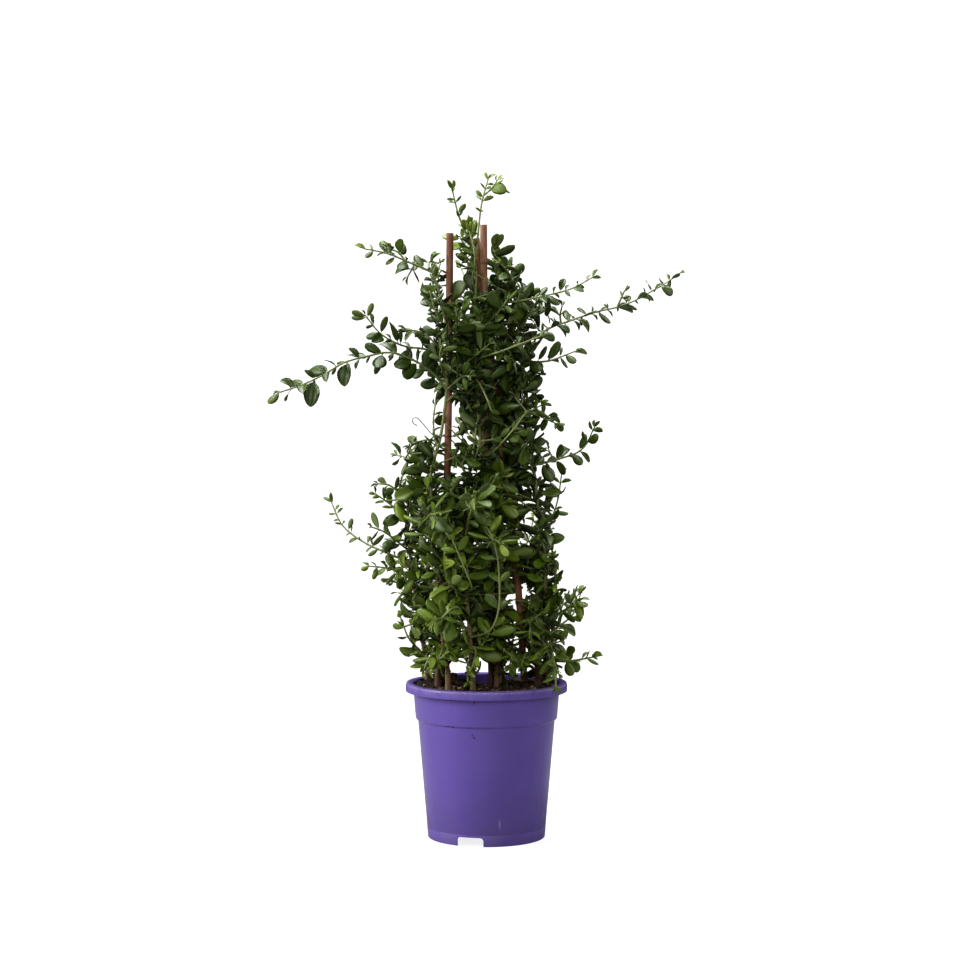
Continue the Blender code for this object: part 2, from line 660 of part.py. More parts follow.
def make_pot(material):
    """The turned tub with its notches and drain holes cut out."""
    pot = turned("pot", pot_profile(), POT_SEGMENTS, material)
    cutters = [notch_cutter(FIRST_NOTCH_ANGLE + 2 * math.pi * number / NOTCH_COUNT)
               for number in range(NOTCH_COUNT)]
    bottom = FLOOR_UNDERSIDE - CUT_OVERRUN
    top = FLOOR_UNDERSIDE + FLOOR_THICKNESS + CUT_OVERRUN
    for number in range(DRAIN_COUNT):
        angle = 2 * math.pi * number / DRAIN_COUNT
        x = DRAIN_RING_RADIUS * math.cos(angle)
        y = DRAIN_RING_RADIUS * math.sin(angle)
        cutters.append(upright_cutter(x, y, bottom, top, DRAIN_RADIUS, DRAIN_SIDES))
    combine(pot, cutters, "DIFFERENCE")
    rounded(pot)
    return pot


# Soil and canes.

def soil_height(x, y):
    """Height of the soil: nearly level, with a mound, a dip and small lumps."""
    mound = math.hypot(x - MOUND_CENTRE[0], y - MOUND_CENTRE[1]) / MOUND_SPREAD
    dip = math.hypot(x - DIP_CENTRE[0], y - DIP_CENTRE[1]) / DIP_SPREAD
    (first_x, first_y), (second_x, second_y) = LUMP_WAVES
    lumps = math.sin(first_x * x + 1.0) * math.cos(first_y * y) + math.sin(second_x * x + second_y * y)
    return (SOIL_LEVEL + MOUND_HEIGHT * math.exp(-mound ** 2) - DIP_DEPTH * math.exp(-dip ** 2)
            + LUMP_HEIGHT * lumps)


def cane_points(name):
    """The points a cane's centre line runs through, from its foot in the soil to its top."""
    low, middle, top = (Vector(point) for point in CANES[name])
    slope = (middle - low) / (middle.z - low.z)
    return [low + slope * (CANE_FOOT - low.z), low, middle, top]


def soil_shape():
    """Points and faces of the soil: it fills the pot and its top follows soil_height."""
    floor_top = FLOOR_UNDERSIDE + FLOOR_THICKNESS
    inset = WALL + SEAT_GAP
    sides = (
        (wall_radius(floor_top) - inset, floor_top + SEAT_GAP),
        (BODY_TOP_RADIUS - inset, COLLAR_BOTTOM - INSIDE_SLOPE),
        (COLLAR_BOTTOM_RADIUS - inset, COLLAR_BOTTOM + SEAT_GAP),
    )
    edge_radius = wall_radius(SOIL_LEVEL - SOIL_EDGE_DROP) - inset
    rings = [(radius, lambda x, y, height=height: height) for radius, height in sides]
    rings += [(radius, soil_height) for radius in (edge_radius, *reversed(SOIL_RINGS))]
    corners = []
    for radius, height_at in rings:
        for segment in range(SOIL_SEGMENTS):
            angle = 2 * math.pi * segment / SOIL_SEGMENTS
            x = radius * math.cos(angle)
            y = radius * math.sin(angle)
            corners.append((x, y, height_at(x, y)))
    faces = [list(range(SOIL_SEGMENTS))]
    for ring in range(len(rings) - 1):
        for segment in range(SOIL_SEGMENTS):
            low = ring * SOIL_SEGMENTS
            after = (segment + 1) % SOIL_SEGMENTS
            faces.append([low + segment, low + after, low + SOIL_SEGMENTS + after])
            faces.append([low + segment, low + SOIL_SEGMENTS + after, low + SOIL_SEGMENTS + segment])
    low = (len(rings) - 1) * SOIL_SEGMENTS
    middle = len(corners)
    corners.append((0.0, 0.0, soil_height(0.0, 0.0)))
    for segment in range(SOIL_SEGMENTS):
        faces.append([low + segment, low + (segment + 1) % SOIL_SEGMENTS, middle])
    return corners, faces


def make_soil(material):
    """The soil with plain round holes for the canes and the stems."""
    soil = new_object("soil", *soil_shape(), material)
    cutters = []
    cane_hole_radius = (CANE_RADIUS + SEAT_GAP) / math.cos(math.pi / CANE_SIDES)
    for name in CANES:
        foot, low, *_ = cane_points(name)
        forward = (low - foot).normalized()
        line = [foot - forward * SEAT_GAP, low + forward * CANE_HOLE_TOP]
        shape = tube_shape(line, [cane_hole_radius, cane_hole_radius], CANE_SIDES)
        cutters.append(new_object("hole_cutter", *shape))
    stem_hole_radius = (STEM_RADII[LEADER][0] + SEAT_GAP) / math.cos(math.pi / STEM_HOLE_SIDES)
    for route in LEADERS.values():
        x, y, z = route[0]
        cutters.append(upright_cutter(x, y, z - PLANTED_DEPTH - SEAT_GAP, z + STEM_HOLE_TOP,
                                      stem_hole_radius, STEM_HOLE_SIDES))
    combine(soil, cutters, "DIFFERENCE")
    keep_main_body(soil)
    return soil


def make_cane(name, material, space):
    """A round stick with flat ends."""
    points = smooth_route(cane_points(name), CANE_STEP)
    corners, faces = tube_shape(points, [CANE_RADIUS] * len(points), CANE_SIDES)
    space.add(corners, faces)
    cane = new_object(name, corners, faces, material)
    rounded(cane)
    return cane


# Wire tie.

def tie_route():
    """One turn of wire round the left cane and leader, twisted shut, with one end curled back."""
    cane = point_at_height(smooth_route(cane_points("cane_left"), TIE_STEP), TIE_HEIGHT)
    stem = point_at_height(smooth_route(LEADERS["leafy_stem_left"], TIE_STEP), TIE_HEIGHT)
    long_way = across_from(UP, stem - cane)
    short_way = UP.cross(long_way)
    turn = []
    for number in range(TIE_POINTS):
        share = number / (TIE_POINTS - 1)
        angle = TIE_START + TIE_TURN * share
        way = long_way * math.cos(angle) + short_way * math.sin(angle)
        middle, radius = (cane, CANE_RADIUS)
        if math.cos(angle) > 0:
            middle, radius = (stem, STEM_RADII[LEADER][0])
        turn.append(middle + way * (radius + TIE_WIRE_RADIUS + TIE_SLACK) + UP * (TIE_PITCH * share))
    return turn + [turn[-1] + TIE_END_DIRECTION * out + UP * rise for out, rise in TIE_END]


def make_tie(material, space):
    """The bent wire."""
    points = smooth_route(tie_route(), TIE_STEP)
    corners, faces = tube_shape(points, [TIE_WIRE_RADIUS] * len(points), TIE_SIDES)
    space.add(corners, faces)
    return new_object("wire_tie", corners, faces, material)


# Leafy stems.

class Shoot:
    """A leader or a shoot: its kind, its route, its leaves' light and size, and its tube."""

    def __init__(self, kind, points, light, leaf_size, space):
        self.kind = kind
        self.points = points
        self.light = light
        self.leaf_size = leaf_size
        radii = tapered(*STEM_RADII[kind], len(points))
        self.corners, self.faces = tube_shape(points, radii, STEM_SIDES[kind])
        self.number = space.add(self.corners, self.faces)


def reach_at(height):
    """How far from the pot's axis the side shoots reach at a height."""
    for (low, low_reach), (high, high_reach) in zip(FOLIAGE_REACH, FOLIAGE_REACH[1:]):
        if height <= high:
            share = max(0.0, (height - low) / (high - low))
            return low_reach + (high_reach - low_reach) * share
    return FOLIAGE_REACH[-1][1]


def random_direction(chance):
    """A vector whose three parts lie between -1 and 1."""
    return Vector((chance.uniform(-1, 1), chance.uniform(-1, 1), chance.uniform(-1, 1)))


def arching_route(start, heading, chance, length):
    """A route that leaves at some angle above level, bends up and swings to one side."""
    rise = math.radians(chance.uniform(*SIDE_SHOOT_RISE))
    lift = math.radians(chance.uniform(*SIDE_SHOOT_LIFT))
    turn = math.radians(chance.uniform(*SIDE_SHOOT_TURN))
    points = [start]
    for number in range(SIDE_SHOOT_STEPS):
        share = (number + 0.5) / SIDE_SHOOT_STEPS
        level = heading + turn * share
        slope = rise + lift * share
        step = Vector((math.cos(level) * math.cos(slope), math.sin(level) * math.cos(slope),
                       math.sin(slope)))
        points.append(points[-1] + step * (length / SIDE_SHOOT_STEPS))
    return points


def grow_side_shoots(leader, chance, space):
    """Short shoots round a leader, wherever there is room for them."""
    shoots = []
    heading = chance.uniform(0, 2 * math.pi)
    distance = SIDE_SHOOT_SPACING * chance.uniform(0.3, 1.0)
    total = route_length(leader.points)
    radii = [radius + CLEARANCE for radius in tapered(*STEM_RADII[SIDE_SHOOT], SIDE_SHOOT_STEPS + 1)]
    while distance < total - BARE_LEADER_TIP:
        start, _ = place_on_route(leader.points, distance)
        distance += SIDE_SHOOT_SPACING * chance.uniform(*SPACING_CHANGE)
        if start.z < LOWEST_SIDE_SHOOT:
            continue
        outward = math.atan2(start.y, start.x)
        for number in range(SIDE_SHOOT_TRIES):
            heading += GOLDEN_ANGLE
            length = chance.uniform(*SIDE_SHOOT_LENGTH)
            if number > SIDE_SHOOT_TRIES // 2:
                heading = outward + math.radians(chance.uniform(*LATE_TRY_SPREAD))
                length *= LATE_TRY_LENGTH
            points = arching_route(start, heading, chance, length)
            tip = points[-1]
            if math.hypot(tip.x, tip.y) > reach_at(tip.z):
                continue
            room = tube_shape(points, radii, STEM_SIDES[LONG_SHOOT])
            if space.is_free(*room, besides=[leader.number]):
                light = Vector((math.cos(outward), math.sin(outward), chance.uniform(*LIGHT_RISE)))
                light += LIGHT_SWING * Vector((chance.uniform(-1, 1), chance.uniform(-1, 1), 0.0))
                shoots.append(Shoot(SIDE_SHOOT, points, light, 1.0, space))
                break
    return shoots


def leaf_on(shoot, distance, heading, lean, size, stations, chance):
    """A leaf at a distance along a shoot, turned round it by the heading."""
    root, forward = place_on_route(shoot.points, distance)
    lit_side = across_from(forward, shoot.light)
    outward = Matrix.Rotation(heading, 3, forward) @ forward.cross(lit_side)
    face = lit_side + LEAF_TILT * forward
    if shoot.kind == LEADER:
        face = UP + LEADER_LEAF_TILT * outward
    face += LEAF_LOOSENESS[shoot.kind] * random_direction(chance)
    length = chance.uniform(*LEAF_LENGTH) * size
    width = length * LEAF_WIDTH_RATIO * chance.uniform(*LEAF_WIDTH_CHANGE)
    return Leaf(root, outward + forward * lean, face, length, width, stations)


def grow_leaves(shoot, spacing, first, chance, space):
    """Alternate leaves along a shoot and one at its tip, wherever there is room for them."""
    leaves = []
    stations = SMALL_LEAF_STATIONS
    if shoot.kind == LONG_SHOOT and shoot.leaf_size >= SMALL_LEAF_SIZE:
        stations = LARGE_LEAF_STATIONS
    total = route_length(shoot.points)
    step = GOLDEN_ANGLE if shoot.kind == LEADER else math.pi
    heading = chance.choice((0.0, math.pi))
    distance = first
    while distance < total - LAST_LEAF:
        heading += step
        young = total - distance < YOUNG_STRETCH
        size = shoot.leaf_size * (YOUNG_LEAF_SHARE if young else 1.0)
        for number in range(LEAF_TRIES):
            swing = LEAF_SWING * (chance.uniform(-1, 1) + (number // 2) * (-1) ** number)
            leaf = leaf_on(shoot, distance, heading + swing, chance.uniform(*LEAF_LEAN), size,
                           stations, chance)
            if space.is_free(*room_around_blade(leaf), besides=[shoot.number]):
                leaves.append(leaf)
                space.add(*blade_shape(leaf))
                break
        distance += spacing * chance.uniform(*SPACING_CHANGE)
    tip_size = max(shoot.leaf_size * YOUNG_LEAF_SHARE, SMALLEST_LEAF)
    for number in range(LEAF_TRIES):
        leaf = leaf_on(shoot, total - TIP_LEAF_INSET, chance.uniform(-math.pi, math.pi),
                       chance.uniform(*TIP_LEAF_LEAN), tip_size, SMALL_LEAF_STATIONS, chance)
        if space.is_free(*room_around_blade(leaf), besides=[shoot.number]):
            leaves.append(leaf)
            space.add(*blade_shape(leaf))
            break
    return leaves


def plant_stems(space):
    """Leaders and shoots of every leafy stem, then the leaves of each."""
    chance = random.Random(SEED)
    stems = {}
    for name, route in LEADERS.items():
        foot = Vector(route[0]) - UP * PLANTED_DEPTH
        stems[name] = [Shoot(LEADER, [foot] + smooth_route(route, LEADER_STEP), UP, 1.0, space)]
    for name, routes in LONG_SHOOTS.items():
        for leaf_size, route in routes:
            swing = chance.uniform(-LONG_SHOOT_LIGHT_SWING, LONG_SHOOT_LIGHT_SWING)
            stems[name].append(Shoot(LONG_SHOOT, smooth_route(route, LONG_SHOOT_STEP),
                                     LONG_SHOOT_LIGHT + Vector((swing, 0.0, 0.0)), leaf_size, space))
    for shoots in stems.values():
        shoots += grow_side_shoots(shoots[0], chance, space)
    leaves = {}
    for name, (leader, *shoots) in stems.items():
        leaves[name] = []
        for shoot in shoots:
            spacing = LEAF_SPACING[shoot.kind]
            spacing *= SPACING_OF_SMALLEST + (1 - SPACING_OF_SMALLEST) * shoot.leaf_size
            leaves[name] += grow_leaves(shoot, spacing, FIRST_LEAF, chance, space)
        leaves[name] += grow_leaves(leader, LEAF_SPACING[LEADER], FIRST_LEADER_LEAF, chance, space)
    return stems, leaves


def make_leafy_stem(name, shoots, leaves, material):
    """A leader with its shoots and leaves joined into one solid."""
    leader = new_object(name, shoots[0].corners, shoots[0].faces, material)
    others = [new_object("shoot", shoot.corners, shoot.faces) for shoot in shoots[1:]]
    others += [new_object("leaf", *blade_shape(leaf)) for leaf in leaves]
    combine(leader, others, "UNION", "MANIFOLD")
    keep_main_body(leader)
    return leader


def take_room(thing, space):
    """Take up the room of an object that is already built."""
    space.add([corner.co.copy() for corner in thing.data.vertices],
              [list(face.vertices) for face in thing.data.polygons])


clear_scene()
occupied = Space()
purple_plastic = principled("purple_plastic", (0.118, 0.074, 0.327), 0.38)
potting_soil = principled("potting_soil", (0.030, 0.018, 0.012), 0.95)
stained_cane = principled("stained_cane", (0.160, 0.045, 0.022), 0.60)
bare_wire = principled("bare_wire", (0.35, 0.34, 0.32), 0.40, 0.9)
foliage = principled("foliage", (0.050, 0.105, 0.020), 0.42)

take_room(make_pot(purple_plastic), occupied)
take_room(make_soil(potting_soil), occupied)
for cane_name in CANES:
    make_cane(cane_name, stained_cane, occupied)
make_tie(bare_wire, occupied)
all_shoots, all_leaves = plant_stems(occupied)
for stem_name in LEADERS:
    make_leafy_stem(stem_name, all_shoots[stem_name], all_leaves[stem_name], foliage)
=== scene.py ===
"""Looks of a young California lilac, trained up three canes in its plastic nursery pot."""
import itertools
import math
import random

import bmesh
import bpy
from mathutils import Matrix, Vector, noise
from mathutils.bvhtree import BVHTree


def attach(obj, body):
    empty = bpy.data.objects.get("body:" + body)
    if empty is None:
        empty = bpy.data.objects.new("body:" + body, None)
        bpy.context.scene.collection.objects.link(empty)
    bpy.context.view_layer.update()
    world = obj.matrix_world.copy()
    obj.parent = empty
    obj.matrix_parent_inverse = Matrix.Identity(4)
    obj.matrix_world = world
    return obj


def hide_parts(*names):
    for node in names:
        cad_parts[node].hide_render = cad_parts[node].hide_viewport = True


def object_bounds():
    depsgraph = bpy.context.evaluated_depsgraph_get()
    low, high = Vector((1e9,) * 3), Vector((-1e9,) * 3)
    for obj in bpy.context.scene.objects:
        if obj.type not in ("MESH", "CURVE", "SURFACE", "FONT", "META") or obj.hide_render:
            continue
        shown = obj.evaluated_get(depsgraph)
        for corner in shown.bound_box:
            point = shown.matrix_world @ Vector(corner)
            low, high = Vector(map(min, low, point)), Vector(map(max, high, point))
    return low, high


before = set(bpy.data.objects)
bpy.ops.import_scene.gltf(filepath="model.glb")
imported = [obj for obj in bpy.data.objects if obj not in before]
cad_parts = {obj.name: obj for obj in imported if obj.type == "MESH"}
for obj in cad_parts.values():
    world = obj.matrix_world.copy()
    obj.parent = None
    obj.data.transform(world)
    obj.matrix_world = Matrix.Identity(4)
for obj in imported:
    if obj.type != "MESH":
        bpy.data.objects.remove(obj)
cad_low, cad_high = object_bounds()


# Camera, floor and light.
# The plant stands on a plain white floor in a white room. A large soft box at the left is the strongest
# light. Weaker ones above, in front and at the back right open the shadows among the leaves.

def put_in_scene(name, data, place=(0.0, 0.0, 0.0)):
    """A new object for a mesh, a light or a camera."""
    thing = bpy.data.objects.new(name, data)
    thing.location = place
    bpy.context.scene.collection.objects.link(thing)
    return thing


def object_from(name, points, faces=(), edges=()):
    """An object from points, faces and edges, placed at the origin."""
    mesh = bpy.data.meshes.new(name)
    mesh.from_pydata([tuple(point) for point in points], edges, faces)
    mesh.update()
    return put_in_scene(name, mesh)


def add_node(tree, kind, inputs=None, **settings):
    """A node with its settings, and its inputs set to a value or joined to another node's output."""
    made = tree.nodes.new(kind)
    for name, value in settings.items():
        setattr(made, name, value)
    for name, value in (inputs or {}).items():
        if isinstance(value, bpy.types.NodeSocket):
            tree.links.new(value, made.inputs[name])
        else:
            made.inputs[name].default_value = value
    return made


def combined(tree, operation, first, second=0.0):
    """One or two numbers, each a value or a node's output, put through one sum."""
    return add_node(tree, "ShaderNodeMath", {0: first, 1: second}, operation=operation).outputs[0]


def times(tree, first, second):
    """The product of two numbers, each a value or a node's output."""
    return combined(tree, "MULTIPLY", first, second)


def vector_sum(tree, operation, *vectors):
    """One or two vectors put through one sum. A length comes out as a number."""
    sum_node = add_node(tree, "ShaderNodeVectorMath", dict(enumerate(vectors)), operation=operation)
    return sum_node.outputs["Value" if operation == "LENGTH" else "Vector"]


def ranged(tree, value, low, high, new_low, new_high, **settings):
    """A number moved from one range to another, and kept inside it."""
    moved = add_node(tree, "ShaderNodeMapRange", {
        "Value": value, "From Min": low, "From Max": high, "To Min": new_low, "To Max": new_high},
        **settings)
    return moved.outputs["Result"]


def place_of(tree, part=None):
    """Where a point of the piece lies, or its place along X, Y or Z alone."""
    place = add_node(tree, "ShaderNodeTexCoord").outputs["Object"]
    if part is None:
        return place
    return add_node(tree, "ShaderNodeSeparateXYZ", {"Vector": place}).outputs[part]


def new_material(name, **values):
    """A material, its node tree and its Principled shader, with constants set on the shader."""
    material = bpy.data.materials.new(name)
    material.use_nodes = True
    tree = material.node_tree
    shader = tree.nodes["Principled BSDF"]
    for socket, value in values.items():
        shader.inputs[socket.replace("_", " ").title().replace("Ior", "IOR")].default_value = value
    return material, tree, shader


def soft_box(name, place, target, width, height, power, colour):
    """A rectangular studio light that faces its target."""
    lamp = bpy.data.lights.new(name, "AREA")
    lamp.shape = "RECTANGLE"
    lamp.size = width
    lamp.size_y = height
    lamp.energy = power
    lamp.color = colour
    box = put_in_scene(name, lamp, place)
    box.rotation_euler = (Vector(target) - Vector(place)).to_track_quat("-Z", "Y").to_euler()


CAMERA_PLACE = (0.0, -2.24, 0.448)
CAMERA_LOOKS_DOWN = 1.851
CAMERA_TURN = 0.174
camera_lens = bpy.data.cameras.new("camera")
camera_lens.lens = 80.0
camera_lens.sensor_width = 36.0
camera = put_in_scene("camera", camera_lens, CAMERA_PLACE)
camera.rotation_euler = (math.radians(90.0 - CAMERA_LOOKS_DOWN), 0.0, math.radians(CAMERA_TURN))
bpy.context.scene.camera = camera

FLOOR_RADIUS = 1.6
FLOOR_SEGMENTS = 96
FLOOR_FADE = (0.70, 1.50)
FLOOR_GLOW = 0.70
FLOOR_GLOW_ON_PLANT = 0.11
ROOM_BRIGHTNESS = 0.02
BACKGROUND_BRIGHTNESS = 1.0


def studio_floor():
    """Matt white paint, lit from below a little, that fades out into the white room."""
    material, tree, shader = new_material(
        "floor_paint", base_color=(0.25, 0.25, 0.25, 1.0), roughness=0.9,
        emission_color=(1.0, 1.0, 1.0, 1.0))
    seen = add_node(tree, "ShaderNodeLightPath").outputs["Is Camera Ray"]
    glow = ranged(tree, seen, 0.0, 1.0, FLOOR_GLOW_ON_PLANT, FLOOR_GLOW)
    tree.links.new(glow, shader.inputs["Emission Strength"])
    out = vector_sum(tree, "LENGTH", place_of(tree))
    shown = ranged(tree, out, *FLOOR_FADE, 1.0, 0.0, interpolation_type="SMOOTHSTEP")
    tree.links.new(shown, shader.inputs["Alpha"])
    return material


def on_circle(radius, turn, height):
    """A point of a level circle round the Z axis."""
    return Vector((radius * math.cos(turn), radius * math.sin(turn), height))


edge = [on_circle(FLOOR_RADIUS, 2 * math.pi * part / FLOOR_SEGMENTS, 0.0)
        for part in range(FLOOR_SEGMENTS)]
floor = object_from("floor", edge, [list(range(FLOOR_SEGMENTS))])
floor.data.materials.append(studio_floor())

MIDDLE_OF_PLANT = (0.0, 0.0, 0.35)
WHITE = (1.0, 1.0, 1.0)
soft_box("left_soft_box", (-2.40, -0.60, 1.2), MIDDLE_OF_PLANT, 1.2, 1.4, 66.0, (1.0, 0.99, 0.97))
soft_box("right_soft_box", (1.7, 0.6, 1.7), MIDDLE_OF_PLANT, 1.2, 1.2, 22.0, WHITE)
soft_box("front_soft_box", (0.3, -2.5, 1.2), MIDDLE_OF_PLANT, 1.0, 1.2, 27.0, WHITE)
soft_box("top_soft_box", (-0.3, 0.3, 2.1), (0.0, 0.0, 0.30), 1.3, 1.3, 58.0, WHITE)

room_light = bpy.data.worlds.new("room_light")
room_light.use_nodes = True
room = room_light.node_tree
background = room.nodes["Background"]
background.inputs["Color"].default_value = (1.0, 1.0, 1.0, 1.0)
seen_directly = add_node(room, "ShaderNodeLightPath").outputs["Is Camera Ray"]
brightness = ranged(room, seen_directly, 0.0, 1.0, ROOM_BRIGHTNESS, BACKGROUND_BRIGHTNESS)
room.links.new(brightness, background.inputs["Strength"])
bpy.context.scene.world = room_light
bpy.context.scene.view_settings.view_transform = "Standard"
bpy.context.scene.view_settings.look = "Medium High Contrast"


# Pot: one piece of injection-moulded plastic, purple all through, with a rolled rim, a shallow
# collar below it, a raised floor with drain holes and three notches in the ring it stands on.
# Its surface is satin, rubbed along the rim, and has a few specks of soil stuck to it. Painted
# highlights lie on the rubbed rim, and painted shade darkens the inner wall above the soil.

RIM_DIAMETER = 0.170
RIM_TOP = 0.163
RIM_LIP_HEIGHT = 0.009
COLLAR_TOP_RADIUS = 0.0775
COLLAR_BOTTOM_RADIUS = 0.0745
COLLAR_BOTTOM = 0.125
BODY_TOP_RADIUS = 0.0720
FOOT_RADIUS = 0.0616
WALL = 0.0017
FLOOR_UNDERSIDE = 0.0110
FLOOR_THICKNESS = 0.0020
SEAM_HEIGHT = 0.0118
SEAM_DEPTH = 0.00035
NOTCH_WIDTH = 0.028
NOTCH_HEIGHT = 0.0095
NOTCH_CORNER = 0.0035
NOTCH_DEPTH = 0.012
FIRST_NOTCH_ANGLE = math.radians(-106)
DRAIN_RADIUS = 0.0045
DRAIN_RING_RADIUS = 0.038
DRAIN_COUNT = 6
CORNER_STEPS = 4
POT_SEGMENTS = 144
BAR_OVERLAP = 0.003
NOTCH_CORNER_STEPS = 6
DRAIN_SEGMENTS = 24

# Marks on the front: across from the middle, height, half width and half height.
SOIL_MARKS = (
    (-0.0360, 0.1530, 0.0013, 0.0012), (-0.0127, 0.1506, 0.0010, 0.0019),
    (-0.0345, 0.1243, 0.0018, 0.0011), (-0.0395, 0.1250, 0.0036, 0.0006),
    (0.0238, 0.1528, 0.0009, 0.0008), (-0.0145, 0.1165, 0.0008, 0.0015),
    (-0.0125, 0.1140, 0.0013, 0.0011),
)
SCRATCH = (0.0137, 0.0235, 0.0009, 0.0056)

PURPLE = (0.118, 0.077, 0.322)
PALER_PURPLE = (0.137, 0.092, 0.360)
RUBBED_AND_HIGHLIT_PURPLE = (0.240, 0.188, 0.380)
CHAFED_AND_HIGHLIT_PURPLE = (0.360, 0.325, 0.450)
DUSTY_PURPLE = (0.128, 0.098, 0.225)
SCRATCHED_PURPLE = (0.420, 0.360, 0.560)
SHADED_INNER_PURPLE = (0.040, 0.018, 0.160)
SOIL_SPOT = (0.030, 0.018, 0.030)


def wall_radius(height):
    """Outer radius of the pot's wall at a height."""
    if height > COLLAR_BOTTOM:
        share = (height - COLLAR_BOTTOM) / (RIM_TOP - COLLAR_BOTTOM)
        return COLLAR_BOTTOM_RADIUS + (COLLAR_TOP_RADIUS - COLLAR_BOTTOM_RADIUS) * share
    return FOOT_RADIUS + (BODY_TOP_RADIUS - FOOT_RADIUS) * height / COLLAR_BOTTOM


def softened(corners):
    """An outline whose corners, each with its own reach, are turned into short curves."""
    outline = []
    for index, (place, reach) in enumerate(corners):
        place = Vector(place)
        if not reach:
            outline.append(place)
            continue
        before = Vector(corners[index - 1][0])
        after = Vector(corners[index + 1][0])
        first = place + (before - place).normalized() * reach
        last = place + (after - place).normalized() * reach
        for step in range(CORNER_STEPS + 1):
            share = step / CORNER_STEPS
            outline.append(first.lerp(place, share).lerp(place.lerp(last, share), share))
    return outline


def pot_outline():
    """Half of the pot's section, from the middle of its underside round to the middle of its floor."""
    rim = RIM_DIAMETER / 2
    under_rim = RIM_TOP - 0.0025
    lip_bottom = RIM_TOP - RIM_LIP_HEIGHT
    floor_top = FLOOR_UNDERSIDE + FLOOR_THICKNESS
    return softened([
        ((0.0, FLOOR_UNDERSIDE), 0),
        ((wall_radius(FLOOR_UNDERSIDE) - 0.0020, FLOOR_UNDERSIDE), 0.0008),
        ((FOOT_RADIUS - 0.0018, 0.0), 0.0004),
        ((FOOT_RADIUS, 0.0), 0.0007),
        ((wall_radius(SEAM_HEIGHT - 0.0007), SEAM_HEIGHT - 0.0007), 0),
        ((wall_radius(SEAM_HEIGHT) - SEAM_DEPTH, SEAM_HEIGHT), 0.0002),
        ((wall_radius(SEAM_HEIGHT + 0.0007), SEAM_HEIGHT + 0.0007), 0),
        ((BODY_TOP_RADIUS, COLLAR_BOTTOM - 0.0016), 0.0008),
        ((COLLAR_BOTTOM_RADIUS, COLLAR_BOTTOM + 0.0004), 0.0009),
        ((wall_radius(under_rim), under_rim), 0.0006),
        ((rim - 0.0018, under_rim), 0.0004),
        ((rim - 0.0014, lip_bottom), 0.0004),
        ((rim, lip_bottom), 0.0005),
        ((rim, RIM_TOP - 0.0004), 0.0024),
        ((rim - 0.0024, RIM_TOP), 0.0016),
        ((COLLAR_TOP_RADIUS - WALL + 0.0010, RIM_TOP), 0.0022),
        ((COLLAR_TOP_RADIUS - WALL - 0.0002, RIM_TOP - 0.0030), 0.0010),
        ((COLLAR_BOTTOM_RADIUS - WALL, COLLAR_BOTTOM), 0.0010),
        ((BODY_TOP_RADIUS - WALL, COLLAR_BOTTOM - 0.0030), 0.0010),
        ((wall_radius(floor_top) - WALL, floor_top), 0.0010),
        ((0.0, floor_top), 0),
    ])


def prism_faces(count):
    """Faces of a prism whose first end is the first count corners and whose other end is the rest."""
    faces = [list(range(count))[::-1], list(range(count, 2 * count))]
    for index in range(count):
        after = (index + 1) % count
        faces.append([index, after, count + after, count + index])
    return faces


def turn_faces_out(mesh):
    """Let every face of a closed mesh point outwards."""
    shape = bmesh.new()
    shape.from_mesh(mesh)
    bmesh.ops.recalc_face_normals(shape, faces=shape.faces)
    shape.to_mesh(mesh)
    shape.free()


def cutting_bar(corners, count):
    """A closed prism that cuts its shape from another object."""
    bar = object_from("cutting_bar", corners, prism_faces(count))
    turn_faces_out(bar.data)
    return bar


def notch_bar(angle):
    """A bar with rounded upper corners, laid through the ring that the pot stands on."""
    outline = [(NOTCH_WIDTH / 2, -BAR_OVERLAP)]
    for side in (1, -1):
        for part in range(NOTCH_CORNER_STEPS + 1):
            turn = math.pi / 2 * (part if side > 0 else NOTCH_CORNER_STEPS - part) / NOTCH_CORNER_STEPS
            outline.append((side * (NOTCH_WIDTH / 2 - NOTCH_CORNER * (1 - math.cos(turn))),
                            NOTCH_HEIGHT - NOTCH_CORNER * (1 - math.sin(turn))))
    outline.append((-NOTCH_WIDTH / 2, -BAR_OVERLAP))
    turned = Matrix.Rotation(angle, 3, "Z")
    ends = (FOOT_RADIUS - NOTCH_DEPTH, FOOT_RADIUS + BAR_OVERLAP)
    corners = [turned @ Vector((radius, across, height))
               for radius in ends for across, height in outline]
    return cutting_bar(corners, len(outline))


def drain_bar(angle):
    """A round upright bar through the floor of the pot."""
    middle = on_circle(DRAIN_RING_RADIUS, angle, 0.0)
    ends = (FLOOR_UNDERSIDE - BAR_OVERLAP, FLOOR_UNDERSIDE + FLOOR_THICKNESS + BAR_OVERLAP)
    corners = [middle + on_circle(DRAIN_RADIUS, 2 * math.pi * part / DRAIN_SEGMENTS, height)
               for height in ends for part in range(DRAIN_SEGMENTS)]
    return cutting_bar(corners, DRAIN_SEGMENTS)


